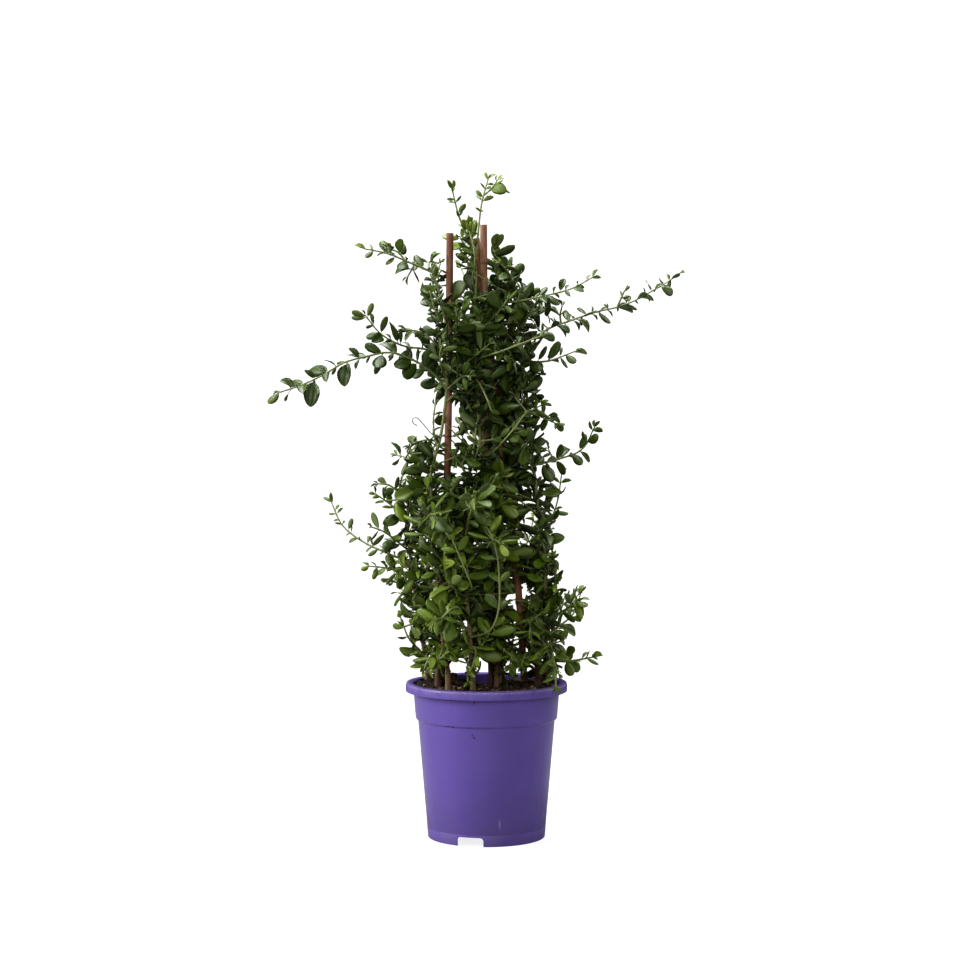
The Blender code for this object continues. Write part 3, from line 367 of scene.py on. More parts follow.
def make_pot():
    """The moulded pot: its section turned round the axis, then notched and drilled."""
    shape = bmesh.new()
    corners = [shape.verts.new((radius, 0.0, height)) for radius, height in pot_outline()]
    edges = [shape.edges.new(pair) for pair in zip(corners, corners[1:])]
    bmesh.ops.spin(shape, geom=corners + edges, cent=(0, 0, 0), axis=(0, 0, 1), dvec=(0, 0, 0),
                   angle=2 * math.pi, steps=POT_SEGMENTS, use_merge=True, use_duplicate=False)
    bmesh.ops.remove_doubles(shape, verts=shape.verts, dist=1e-6)
    bmesh.ops.recalc_face_normals(shape, faces=shape.faces)
    mesh = bpy.data.meshes.new("nursery_pot")
    shape.to_mesh(mesh)
    shape.free()
    pot = put_in_scene("nursery_pot", mesh)
    cuts = bpy.data.collections.new("pot_cuts")
    bpy.context.scene.collection.children.link(cuts)
    bars = [notch_bar(FIRST_NOTCH_ANGLE + 2 * math.pi * number / 3) for number in range(3)]
    bars += [drain_bar(2 * math.pi * number / DRAIN_COUNT) for number in range(DRAIN_COUNT)]
    for bar in bars:
        bpy.context.scene.collection.objects.unlink(bar)
        cuts.objects.link(bar)
    cut = pot.modifiers.new("Cut", "BOOLEAN")
    cut.operand_type = "COLLECTION"
    cut.collection = cuts
    cut.solver = "EXACT"
    finish_mesh(pot)
    for bar in bars:
        bpy.data.objects.remove(bar, do_unlink=True)
    bpy.data.collections.remove(cuts)
    pot.data.shade_smooth()
    pot.data.set_sharp_from_angle(angle=math.radians(38))
    return pot


def finish_mesh(thing):
    """Turn what an object's modifiers make into its own plain mesh, and remove them."""
    bpy.context.view_layer.update()
    graph = bpy.context.evaluated_depsgraph_get()
    mesh = bpy.data.meshes.new_from_object(thing.evaluated_get(graph))
    thing.modifiers.clear()
    if thing.type == "MESH":
        thing.data = mesh
    return mesh


def shader_group(name, inputs, outputs):
    """An empty shader node group with number inputs and outputs, and its two end nodes."""
    group = bpy.data.node_groups.new(name, "ShaderNodeTree")
    for label, value in inputs.items():
        socket = group.interface.new_socket(label, in_out="INPUT", socket_type="NodeSocketFloat")
        socket.default_value = value
    for label in outputs:
        group.interface.new_socket(label, in_out="OUTPUT", socket_type="NodeSocketFloat")
    return group, group.nodes.new("NodeGroupInput"), group.nodes.new("NodeGroupOutput")


def make_mottling():
    """Uneven patches over a surface, from 0 to 1. Stretch draws them out along Z."""
    group, given, result = shader_group(
        "mottling", {"Size": 0.01, "Stretch": 1.0, "Detail": 3.0, "Contrast": 1.0}, ["Mask"])
    tall = combined(group, "DIVIDE", 1.0, given.outputs["Stretch"])
    squeeze = add_node(group, "ShaderNodeCombineXYZ", {"X": 1.0, "Y": 1.0, "Z": tall})
    stretched = vector_sum(group, "MULTIPLY", place_of(group), squeeze.outputs[0])
    scale = combined(group, "DIVIDE", 1.0, given.outputs["Size"])
    patches = add_node(group, "ShaderNodeTexNoise", {
        "Vector": stretched, "Scale": scale, "Detail": given.outputs["Detail"]})
    centred = combined(group, "SUBTRACT", patches.outputs["Fac"], 0.5)
    pushed = add_node(group, "ShaderNodeMath", {0: centred, 1: given.outputs["Contrast"], 2: 0.5},
                      operation="MULTIPLY_ADD", use_clamp=True)
    group.links.new(pushed.outputs[0], result.inputs["Mask"])
    return group


def make_specks():
    """Small scattered spots. Amount is the share of the cells that hold one."""
    group, given, result = shader_group(
        "specks", {"Spacing": 0.01, "Spot Size": 0.15, "Amount": 0.3}, ["Mask"])
    scale = combined(group, "DIVIDE", 1.0, given.outputs["Spacing"])
    cells = add_node(group, "ShaderNodeTexVoronoi", {"Vector": place_of(group), "Scale": scale})
    spot = combined(group, "LESS_THAN", cells.outputs["Distance"], given.outputs["Spot Size"])
    chance = add_node(group, "ShaderNodeSeparateColor", {"Color": cells.outputs["Color"]})
    chosen = combined(group, "LESS_THAN", chance.outputs["Red"], given.outputs["Amount"])
    group.links.new(times(group, spot, chosen), result.inputs["Mask"])
    return group


mottling = make_mottling()
specks = make_specks()


def patches_of(tree, size, stretch, detail, contrast):
    """A mottling group placed in a material. Returns its mask."""
    values = {"Size": size, "Stretch": stretch, "Detail": detail, "Contrast": contrast}
    return add_node(tree, "ShaderNodeGroup", values, node_tree=mottling).outputs["Mask"]


def specks_of(tree, spacing, spot_size, amount):
    """A specks group placed in a material. Returns its mask."""
    values = {"Spacing": spacing, "Spot Size": spot_size, "Amount": amount}
    return add_node(tree, "ShaderNodeGroup", values, node_tree=specks).outputs["Mask"]


def mixed(tree, factor, first, second):
    """A colour between two others. Each may be a colour or a node's output."""
    mix = add_node(tree, "ShaderNodeMix", data_type="RGBA")
    for name, value in (("Factor", factor), ("A", first), ("B", second)):
        socket = next(s for s in mix.inputs if s.name == name and s.enabled)
        if isinstance(value, bpy.types.NodeSocket):
            tree.links.new(value, socket)
        elif name == "Factor":
            socket.default_value = value
        else:
            socket.default_value = (*value, 1.0)
    return next(s for s in mix.outputs if s.enabled)


def dressed(tree, shader, colour, roughness):
    """Give a shader its colour and its roughness, both from nodes."""
    tree.links.new(colour, shader.inputs["Base Color"])
    tree.links.new(roughness, shader.inputs["Roughness"])


def bumped(tree, shader, height, strength, depth):
    """Raise the surface by a height pattern."""
    bump = add_node(tree, "ShaderNodeBump", {"Height": height, "Strength": strength, "Distance": depth})
    tree.links.new(bump.outputs["Normal"], shader.inputs["Normal"])


def mark_on_front(tree, x, z, half_width, half_height):
    """The mask of a ragged spot or streak at one place on the front of the pot."""
    centred = vector_sum(tree, "SUBTRACT", place_of(tree), (x, 0.0, z))
    scaled = vector_sum(tree, "MULTIPLY", centred, (1.0 / half_width, 0.0, 1.0 / half_height))
    ragged = combined(tree, "ADD", vector_sum(tree, "LENGTH", scaled),
                      patches_of(tree, 0.0008, 1.0, 3.0, 1.5))
    in_front = ranged(tree, place_of(tree, "Y"), -0.020, -0.030, 0.0, 1.0)
    return times(tree, ranged(tree, ragged, 1.1, 1.6, 1.0, 0.0), in_front)


def pot_plastic():
    """Satin purple plastic with handling marks, a dull bloom, specks of soil, painted highlights on the
    rim and painted shade inside.
    """
    material, tree, shader = new_material("purple_plastic", roughness=0.38, specular_ior_level=0.35)
    height = place_of(tree, "Z")
    cloudy = patches_of(tree, 0.035, 1.6, 3.0, 1.8)
    colour = mixed(tree, cloudy, PURPLE, PALER_PURPLE)
    # The band below the rim is lighter in patches: partly rubbed wear, partly a painted highlight.
    scuff_and_highlight_patches = patches_of(tree, 0.0060, 1.6, 4.0, 2.6)
    near_rim = ranged(tree, height, RIM_TOP - 0.0095, RIM_TOP - 0.0030, 0.0, 0.40)
    rubbed_and_highlit = times(tree, scuff_and_highlight_patches, near_rim)
    colour = mixed(tree, rubbed_and_highlit, colour, RUBBED_AND_HIGHLIT_PURPLE)
    level = vector_sum(tree, "MULTIPLY", place_of(tree), (1.0, 1.0, 0.0))
    from_axis = vector_sum(tree, "LENGTH", level)
    # The top outer edge of the rim is paler in patches: partly chafed, partly a painted highlight.
    edge_top = ranged(tree, height, RIM_TOP - 0.0032, RIM_TOP - 0.0010, 0.0, 1.0)
    edge_out = ranged(tree, from_axis, RIM_DIAMETER / 2 - 0.0042, RIM_DIAMETER / 2 - 0.0018, 0.0, 1.0)
    chafed_and_highlit = times(tree, times(tree, edge_top, edge_out), patches_of(tree, 0.0030, 1.0, 4.0, 2.5))
    colour = mixed(tree, times(tree, chafed_and_highlit, 0.55), colour, CHAFED_AND_HIGHLIT_PURPLE)
    dust = patches_of(tree, 0.016, 1.5, 6.0, 2.5)
    low_down = ranged(tree, height, 0.060, 0.005, 0.0, 0.60)
    dusty = times(tree, dust, low_down)
    colour = mixed(tree, dusty, colour, DUSTY_PURPLE)
    soil_marks = specks_of(tree, 0.0115, 0.085, 0.020)
    for mark in SOIL_MARKS:
        soil_marks = combined(tree, "MAXIMUM", soil_marks, mark_on_front(tree, *mark))
    colour = mixed(tree, times(tree, soil_marks, 0.85), colour, SOIL_SPOT)
    colour = mixed(tree, times(tree, mark_on_front(tree, *SCRATCH), 0.5), colour, SCRATCHED_PURPLE)
    # Painted shade: the inner wall of the collar, above the soil, is painted darker.
    outer = ranged(tree, height, COLLAR_BOTTOM, RIM_TOP, COLLAR_BOTTOM_RADIUS, COLLAR_TOP_RADIUS)
    inside = ranged(tree, combined(tree, "SUBTRACT", outer, from_axis), 0.0008, 0.0014, 0.0, 0.85)
    in_collar = ranged(tree, height, COLLAR_BOTTOM + 0.002, COLLAR_BOTTOM + 0.006, 0.0, 1.0)
    colour = mixed(tree, times(tree, inside, in_collar), colour, SHADED_INNER_PURPLE)
    worn_and_highlit = combined(tree, "MAXIMUM", rubbed_and_highlit, dusty)
    dressed(tree, shader, colour, ranged(tree, worn_and_highlit, 0.0, 0.4, 0.34, 0.58))
    bumped(tree, shader, patches_of(tree, 0.0016, 1.0, 2.0, 1.0), 0.10, 0.0002)
    return material


nursery_pot = make_pot()
nursery_pot.data.materials.append(pot_plastic())
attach(nursery_pot, "root")
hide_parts("pot")


# Soil: damp, dark compost of fine crumbs and chips of bark. It is pressed into the pot to just
# below the rim, heaped at the left and sunken at the back. The crumbs lie loose on top.

SEAT_GAP = 0.0003
SOIL_LEVEL = 0.1575
SOIL_SEGMENTS = 120
SOIL_RING_COUNT = 26
SOIL_EDGE_DROP = 0.0115
LUMP_HEIGHT = 0.0009
LUMP_WAVES = ((190, 170), (140, 310))
ROUGHNESS_WAVES = 190.0
ROUGHNESS_HEIGHT = 0.0016
MOUND_CENTRE = (-0.045, 0.007)
MOUND_HEIGHT = 0.0145
MOUND_SPREAD = 0.025
DIP_CENTRE = (-0.013, 0.056)
DIP_DEPTH = 0.0110
DIP_SPREAD = 0.027
CRUMB_SEED = 11
CRUMBS_PER_SQUARE_METRE = 62000.0
CRUMB_SIZES = (0.0014, 0.0056)
CRUMB_SINK = 0.0004
CRUMB_REACH = 0.0700
CRUMB_TILT = 0.5
LUMPINESS = 0.9

DARKEST_COMPOST = (0.006, 0.004, 0.003)
DARK_COMPOST = (0.024, 0.014, 0.010)
BROWN_COMPOST = (0.045, 0.027, 0.016)
DARKEST_CRUMB = (0.012, 0.007, 0.005)
DARK_CRUMB = (0.042, 0.023, 0.014)
DRY_CRUMB = (0.300, 0.190, 0.115)


def soil_height(x, y):
    """Height of the soil: nearly level, with a mound, a dip and small lumps."""
    mound = math.hypot(x - MOUND_CENTRE[0], y - MOUND_CENTRE[1]) / MOUND_SPREAD
    dip = math.hypot(x - DIP_CENTRE[0], y - DIP_CENTRE[1]) / DIP_SPREAD
    (first_x, first_y), (second_x, second_y) = LUMP_WAVES
    lumps = math.sin(first_x * x + 1.0) * math.cos(first_y * y) + math.sin(second_x * x + second_y * y)
    return (SOIL_LEVEL + MOUND_HEIGHT * math.exp(-mound ** 2) - DIP_DEPTH * math.exp(-dip ** 2)
            + LUMP_HEIGHT * lumps)


def faces_between_rings(count, segments):
    """The four-sided faces that join each ring of points to the next."""
    faces = []
    for ring in range(count - 1):
        low = ring * segments
        for segment in range(segments):
            after = (segment + 1) % segments
            faces.append([low + segment, low + after, low + segments + after, low + segments + segment])
    return faces


def make_soil():
    """The body of compost, with a rough top."""
    floor_top = FLOOR_UNDERSIDE + FLOOR_THICKNESS
    inset = WALL + SEAT_GAP
    edge_radius = wall_radius(SOIL_LEVEL - SOIL_EDGE_DROP) - inset
    rings = [
        (wall_radius(floor_top) - inset - 0.0008, floor_top + SEAT_GAP),
        (BODY_TOP_RADIUS - inset, COLLAR_BOTTOM - 0.0030),
        (COLLAR_BOTTOM_RADIUS - inset, COLLAR_BOTTOM + SEAT_GAP),
    ]
    rings += [(edge_radius * (1 - ring / SOIL_RING_COUNT), None) for ring in range(SOIL_RING_COUNT)]
    points = []
    for radius, height in rings:
        for segment in range(SOIL_SEGMENTS):
            turn = 2 * math.pi * segment / SOIL_SEGMENTS
            x = radius * math.cos(turn)
            y = radius * math.sin(turn)
            rough = noise.fractal(Vector((x, y, 0.0)) * ROUGHNESS_WAVES, 1.0, 2.0, 4) * ROUGHNESS_HEIGHT
            points.append((x, y, height or soil_height(x, y) + rough))
    faces = [list(range(SOIL_SEGMENTS))[::-1]] + faces_between_rings(len(rings), SOIL_SEGMENTS)
    low = (len(rings) - 1) * SOIL_SEGMENTS
    points.append((0.0, 0.0, soil_height(0.0, 0.0)))
    for segment in range(SOIL_SEGMENTS):
        faces.append([low + segment, low + (segment + 1) % SOIL_SEGMENTS, len(points) - 1])
    soil = object_from("compost", points, faces)
    soil.data.shade_smooth()
    return soil


def crumb(name, seed, stretch):
    """One crumb or chip, about one unit across."""
    shape = bmesh.new()
    bmesh.ops.create_icosphere(shape, subdivisions=1, radius=0.5)
    for corner in shape.verts:
        push = noise.noise(corner.co * 2.3 + Vector((seed * 7.1, 0.0, 0.0)))
        corner.co = corner.co * (1.0 + LUMPINESS * push)
        corner.co = Vector([corner.co[axis] * stretch[axis] for axis in range(3)])
    mesh = bpy.data.meshes.new(name)
    shape.to_mesh(mesh)
    shape.free()
    return put_in_scene(name, mesh)


def nodes_tree(name, inputs):
    """An empty Geometry Nodes tree that takes and gives geometry, with further named inputs."""
    tree = bpy.data.node_groups.new(name, "GeometryNodeTree")
    tree.interface.new_socket("Geometry", in_out="INPUT", socket_type="NodeSocketGeometry")
    tree.interface.new_socket("Geometry", in_out="OUTPUT", socket_type="NodeSocketGeometry")
    for label, kind in inputs.items():
        tree.interface.new_socket(label, in_out="INPUT", socket_type="NodeSocket" + kind)
    return tree, tree.nodes.new("NodeGroupInput"), tree.nodes.new("NodeGroupOutput")


def grow_with(thing, tree, values):
    """Put a Geometry Nodes tree on an object, give it its values and keep the mesh it makes."""
    step = thing.modifiers.new("Growth", "NODES")
    step.node_group = tree
    for item in tree.interface.items_tree:
        if item.in_out == "INPUT" and item.name in values:
            step[item.identifier] = values[item.name]
    return finish_mesh(thing)


def one_of(tree, shapes):
    """The shapes as instances, to pick from for each point."""
    kinds = add_node(tree, "GeometryNodeJoinGeometry")
    for shape in shapes:
        source = add_node(tree, "GeometryNodeObjectInfo", {"Object": shape, "As Instance": True})
        tree.links.new(source.outputs["Geometry"], kinds.inputs[0])
    return kinds.outputs[0]


def end_tree(tree, given, result, geometry):
    """Make what a tree has grown real, and give it its material."""
    plain = add_node(tree, "GeometryNodeRealizeInstances", {"Geometry": geometry})
    painted = add_node(tree, "GeometryNodeSetMaterial", {
        "Geometry": plain.outputs[0], "Material": given.outputs["Material"]})
    tree.links.new(painted.outputs[0], result.inputs[0])


def make_crumb_tree(shapes):
    """Crumbs scattered over a surface at random sizes, turned and sunk a little into it."""
    tree, given, result = nodes_tree("scattered_crumbs", {
        "Crumbs per Square Metre": "Float", "Smallest": "Float", "Largest": "Float", "Sink": "Float",
        "Reach": "Float", "Seed": "Int", "Material": "Material"})
    place = add_node(tree, "GeometryNodeInputPosition")
    flat = vector_sum(tree, "MULTIPLY", place.outputs[0], (1.0, 1.0, 0.0))
    inside = add_node(tree, "FunctionNodeCompare", {
        0: vector_sum(tree, "LENGTH", flat), 1: given.outputs["Reach"]},
        data_type="FLOAT", operation="LESS_THAN")
    facing = add_node(tree, "ShaderNodeSeparateXYZ", {
        0: add_node(tree, "GeometryNodeInputNormal").outputs[0]})
    upward = add_node(tree, "FunctionNodeCompare", {0: facing.outputs["Z"], 1: 0.2},
                      data_type="FLOAT", operation="GREATER_THAN")
    both = add_node(tree, "FunctionNodeBooleanMath", {0: inside.outputs[0], 1: upward.outputs[0]},
                    operation="AND")
    spots = add_node(tree, "GeometryNodeDistributePointsOnFaces", {
        "Mesh": given.outputs["Geometry"], "Selection": both.outputs[0],
        "Density": given.outputs["Crumbs per Square Metre"], "Seed": given.outputs["Seed"]})
    pick = add_node(tree, "FunctionNodeRandomValue", {"Seed": given.outputs["Seed"]}, data_type="INT")
    pick.inputs[4].default_value = 0
    pick.inputs[5].default_value = len(shapes) - 1
    size = add_node(tree, "FunctionNodeRandomValue", {"Seed": 3}, data_type="FLOAT")
    tree.links.new(given.outputs["Smallest"], size.inputs[2])
    tree.links.new(given.outputs["Largest"], size.inputs[3])
    swing = add_node(tree, "FunctionNodeRandomValue", {"Seed": 5}, data_type="FLOAT_VECTOR")
    swing.inputs[0].default_value = (-CRUMB_TILT, -CRUMB_TILT, -3.14)
    swing.inputs[1].default_value = (CRUMB_TILT, CRUMB_TILT, 3.14)
    turn = add_node(tree, "FunctionNodeEulerToRotation", {0: swing.outputs[0]})
    placed = add_node(tree, "GeometryNodeInstanceOnPoints", {
        "Points": spots.outputs["Points"], "Instance": one_of(tree, shapes), "Pick Instance": True,
        "Instance Index": pick.outputs[2], "Rotation": turn.outputs[0], "Scale": size.outputs[1]})
    shade = add_node(tree, "FunctionNodeRandomValue", {"Seed": 8}, data_type="FLOAT")
    toned = add_node(tree, "GeometryNodeStoreNamedAttribute", {
        "Geometry": placed.outputs[0], "Name": "tone", "Value": shade.outputs[1]},
        data_type="FLOAT", domain="INSTANCE")
    down = add_node(tree, "ShaderNodeCombineXYZ", {"Z": given.outputs["Sink"]})
    sunk = add_node(tree, "GeometryNodeTranslateInstances", {
        "Instances": toned.outputs[0], "Translation": down.outputs[0], "Local Space": False})
    end_tree(tree, given, result, sunk.outputs[0])
    return tree


def stored_value(tree, name):
    """A number that the mesh holds for each of its points, pieces or faces."""
    return add_node(tree, "ShaderNodeAttribute", attribute_name=name).outputs["Fac"]


def compost_material(name, darkest, middle, palest):
    """Damp crumbs, nearly black between them and browner on top. Tone varies from piece to piece."""
    material, tree, shader = new_material(name, roughness=0.85)
    grains = patches_of(tree, 0.0018, 1.0, 5.0, 3.0)
    pale = combined(tree, "POWER", stored_value(tree, "tone"), 3.2)
    colour = mixed(tree, pale, mixed(tree, grains, darkest, middle), palest)
    dressed(tree, shader, colour, ranged(tree, grains, 0.0, 1.0, 0.55, 0.95))
    bumped(tree, shader, patches_of(tree, 0.0009, 1.0, 4.0, 2.0), 0.6, 0.0006)
    return material


compost = make_soil()
compost.data.materials.append(compost_material(
    "damp_compost", DARKEST_COMPOST, DARK_COMPOST, BROWN_COMPOST))

crumb_shapes = [
    crumb("round_crumb", 1, (1.0, 0.9, 0.7)),
    crumb("long_crumb", 2, (1.5, 0.7, 0.55)),
    crumb("bark_chip", 3, (2.0, 1.0, 0.35)),
    crumb("bark_sliver", 4, (2.6, 0.5, 0.30)),
]
crumb_material = compost_material("bark_and_crumbs", DARKEST_CRUMB, DARK_CRUMB, DRY_CRUMB)
crumb_tree = make_crumb_tree(crumb_shapes)
crumbs = object_from("loose_crumbs", [corner.co for corner in compost.data.vertices],
                     [list(face.vertices) for face in compost.data.polygons])
grow_with(crumbs, crumb_tree, {
    "Crumbs per Square Metre": CRUMBS_PER_SQUARE_METRE, "Smallest": CRUMB_SIZES[0],
    "Largest": CRUMB_SIZES[1], "Sink": CRUMB_SINK, "Reach": CRUMB_REACH, "Seed": CRUMB_SEED,
    "Material": crumb_material})
for shape in crumb_shapes:
    bpy.data.objects.remove(shape, do_unlink=True)
for piece in (compost, crumbs):
    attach(piece, "root")
    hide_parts("soil")


# Canes: three bamboo sticks, stained red-brown, smooth between faint joints and sawn square at the
# top. Their lower ends are pushed into the soil, and they lean towards each other.

CANE_RADIUS = 0.0040
CANE_FOOT = 0.075
CANE_STEP = 0.004
JOINT_SPACING = 0.165
JOINT_OFFSET = 0.05
JOINT_SWELLING = 0.00022
JOINT_HALF_LENGTH = 0.003
SHRINKAGE_BETWEEN_JOINTS = 0.0003
SHARP_EDGE = math.radians(55)
CANES = {
    "cane_left": ((-0.051, -0.022, 0.161), (-0.041, -0.017, 0.376), (-0.038, -0.012, 0.633)),
    "cane_centre": ((0.006, 0.014, 0.156), (-0.001, 0.008, 0.380), (-0.003, 0.002, 0.643)),
    "cane_right": ((0.041, 0.030, 0.151), (0.029, 0.026, 0.310), (-0.011, 0.016, 0.630)),
}
CURVE_PARTS = 8

DARK_STAIN = (0.085, 0.030, 0.016)
FADED_STAIN = (0.460, 0.270, 0.170)
JOINT_BROWN = (0.045, 0.018, 0.012)
SOILED_BROWN = (0.075, 0.045, 0.026)


def smooth_route(route, step):
    """Points at about equal distances along a smooth curve through the route."""
    points = [Vector(point) for point in route]
    ends = [2 * points[0] - points[1]] + points + [2 * points[-1] - points[-2]]
    fine = []
    for before, start, stop, after in zip(ends, ends[1:], ends[2:], ends[3:]):
        for part in range(CURVE_PARTS):
            t = part / CURVE_PARTS
            fine.append(0.5 * (
                2 * start + (stop - before) * t
                + (2 * before - 5 * start + 4 * stop - after) * t ** 2
                + (3 * start - before - 3 * stop + after) * t ** 3))
    fine.append(points[-1])
    reached = [0.0]
    for first, second in zip(fine, fine[1:]):
        reached.append(reached[-1] + (second - first).length)
    count = max(2, round(reached[-1] / step))
    even = []
    index = 0
    for number in range(count + 1):
        goal = reached[-1] * number / count
        while index < len(fine) - 2 and reached[index + 1] < goal:
            index += 1
        share = (goal - reached[index]) / (reached[index + 1] - reached[index])
        even.append(fine[index].lerp(fine[index + 1], min(share, 1.0)))
    return even


def make_rod_tree():
    """A round rod along each chain of edges, as thick as its points say, with rough skin."""
    tree, given, result = nodes_tree("rods_along_edges", {
        "Sides": "Int", "Skin Roughness": "Float", "Skin Grain": "Float", "Material": "Material"})
    thickness = add_node(tree, "GeometryNodeInputNamedAttribute", {"Name": "thickness"},
                         data_type="FLOAT")
    chains = add_node(tree, "GeometryNodeMeshToCurve", {"Mesh": given.outputs["Geometry"]})
    ring = add_node(tree, "GeometryNodeCurvePrimitiveCircle", {
        "Resolution": given.outputs["Sides"], "Radius": 1.0})
    rods = add_node(tree, "GeometryNodeCurveToMesh", {
        "Curve": chains.outputs[0], "Profile Curve": ring.outputs[0],
        "Scale": thickness.outputs[0], "Fill Caps": True})
    grain = add_node(tree, "ShaderNodeTexNoise", {"Scale": given.outputs["Skin Grain"], "Detail": 2.0})
    centred = combined(tree, "SUBTRACT", grain.outputs["Fac"], 0.5)
    push = add_node(tree, "ShaderNodeVectorMath", {
        0: add_node(tree, "GeometryNodeInputNormal").outputs[0],
        "Scale": times(tree, centred, given.outputs["Skin Roughness"])}, operation="SCALE")
    skinned = add_node(tree, "GeometryNodeSetPosition", {
        "Geometry": rods.outputs[0], "Offset": push.outputs[0]})
    smooth = add_node(tree, "GeometryNodeSetShadeSmooth", {"Geometry": skinned.outputs[0]})
    end_tree(tree, given, result, smooth.outputs[0])
    return tree


def rods(name, routes, tree, values):
    """Rods along routes. Each route is a list of points with their radius and their age."""
    points = []
    edges = []
    for route in routes:
        edges += [(len(points) + index, len(points) + index + 1) for index in range(len(route) - 1)]
        points += route
    thing = object_from(name, [place for place, _, _ in points], edges=edges)
    for label, part in (("thickness", 1), ("age", 2)):
        stored = thing.data.attributes.new(label, "FLOAT", "POINT")
        stored.data.foreach_set("value", [point[part] for point in points])
    grow_with(thing, tree, values)
    thing.data.set_sharp_from_angle(angle=SHARP_EDGE)
    return thing


def cane_points(name):
    """The points a cane's centre line runs through, from its foot in the soil to its top."""
    low, middle, top = (Vector(point) for point in CANES[name])
    slope = (middle - low) / (middle.z - low.z)
    return [low + slope * (CANE_FOOT - low.z), low, middle, top]


def cane_route(name):
    """A cane's centre line with its radius, which swells a little at the joints of the bamboo."""
    points = smooth_route(cane_points(name), CANE_STEP)
    route = []
    offset = JOINT_OFFSET * list(CANES).index(name)
    for index, point in enumerate(points):
        from_joint = abs((index * CANE_STEP + offset) % JOINT_SPACING - JOINT_SPACING / 2)
        swelling = JOINT_SWELLING * math.exp(-(from_joint / JOINT_HALF_LENGTH) ** 2)
        route.append((point, CANE_RADIUS - SHRINKAGE_BETWEEN_JOINTS + swelling, from_joint))
    return route


def stained_bamboo(name, dark, pale, faded_share):
    """Red-brown stain, darker in patches, with fine streaks along the cane and a dull polish."""
    material, tree, shader = new_material(name, roughness=0.55)
    streaks = patches_of(tree, 0.0011, 26.0, 4.0, 2.2)
    patches = patches_of(tree, 0.011, 3.0, 4.0, 3.0)
    colour = mixed(tree, streaks, dark, pale)
    colour = mixed(tree, times(tree, patches, 0.60), colour, DARK_STAIN)
    faded = patches_of(tree, 0.0034, 4.0, 4.0, 5.0)
    colour = mixed(tree, times(tree, faded, faded_share), colour, FADED_STAIN)
    joint = ranged(tree, stored_value(tree, "age"), 0.0006, 0.0022, 0.65, 0.0)
    colour = mixed(tree, joint, colour, JOINT_BROWN)
    soiled = ranged(tree, place_of(tree, "Z"), 0.185, 0.230, 0.80, 0.0)
    colour = mixed(tree, soiled, colour, SOILED_BROWN)
    dressed(tree, shader, colour, ranged(tree, patches, 0.0, 1.0, 0.42, 0.70))
    bumped(tree, shader, streaks, 0.35, 0.0003)
    return material


# The centre and right canes get lighter copies of the stain: partly their own faded and orange colour,
# partly painted light where the leaves shade them.
cane_finishes = {
    "cane_left": stained_bamboo("stained_bamboo", (0.150, 0.050, 0.020), (0.320, 0.125, 0.058), 0.24),
    "cane_centre": stained_bamboo("faded_and_lit_bamboo", (0.230, 0.105, 0.055), (0.420, 0.215, 0.125), 0.40),
    "cane_right": stained_bamboo("orange_and_lit_bamboo", (0.290, 0.090, 0.024), (0.560, 0.210, 0.070), 0.28),
}
rod_tree = make_rod_tree()
for cane_name in CANES:
    cane = rods(cane_name + "_bamboo", [cane_route(cane_name)], rod_tree, {
        "Sides": 20, "Skin Roughness": 0.0002, "Skin Grain": 300.0,
        "Material": cane_finishes[cane_name]})
    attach(cane, "root")
    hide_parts(cane_name)


# Stems: seven leaders rise from the soil between the canes. Long shoots arch out of them, and short
# ones stand all round them. They are brown and corky at the soil and yellow-green at the tips.

PLANTED_DEPTH = 0.040

# Routes are listed in millimetres, from the parent stem outwards. A number before a route is the
# size of its leaves.
LEADERS = {
    "leafy_stem_left": [
        (-40, -38, 172), (-45, -37, 212), (-50, -36, 263), (-55, -34, 315), (-58, -29, 375),
        (-55, -26.5, 395), (-47, -25, 425), (-42, -24, 465), (-40, -23.5, 511), (-44, -24, 550),
        (-50, -26, 572), (-57, -26, 594),
    ],
    "leafy_stem_centre": [
        (11, -8, 172), (11, -8, 205), (10, -8, 257), (6, -8, 301), (1, -8, 335), (-2, -8, 370),
        (-6, -9, 407), (-9, -9, 459), (-12, -10, 512), (-13, -10, 560), (-10, -11, 600),
        (-16, -12, 623),
    ],
    "leafy_stem_right": [
        (54, 4, 172), (57, 2, 207), (62, 1, 249), (61, 0, 291), (56, 0, 333), (51, 0, 375),
        (46, 0, 417), (43, -1, 460), (37, -2, 502), (32, -2, 544), (26, 0, 590),
    ],
    "leafy_stem_back": [
        (16, 48, 172), (15, 49, 203), (10, 49, 256), (6, 46, 310), (8, 42, 374), (7, 40, 438),
        (12, 36, 502), (10, 34, 555), (14, 32, 600),
    ],
    "leafy_stem_front": [
        (-14, -46, 172), (-16, -46, 202), (-20, -43, 253), (-24, -41, 305), (-22, -38, 356),
        (-14, -36, 403), (-10, -36, 436),
    ],
    "leafy_stem_low_left": [
        (-62, 4, 172), (-66, 4, 197), (-71, 4, 229), (-77, 5, 270), (-82, 6, 312), (-83, 8, 349),
        (-78, 12, 385),
    ],
    "leafy_stem_low_right": [
        (62, 24, 172), (68, 26, 200), (73, 28, 236), (74, 30, 270), (70, 32, 300),
    ],
}
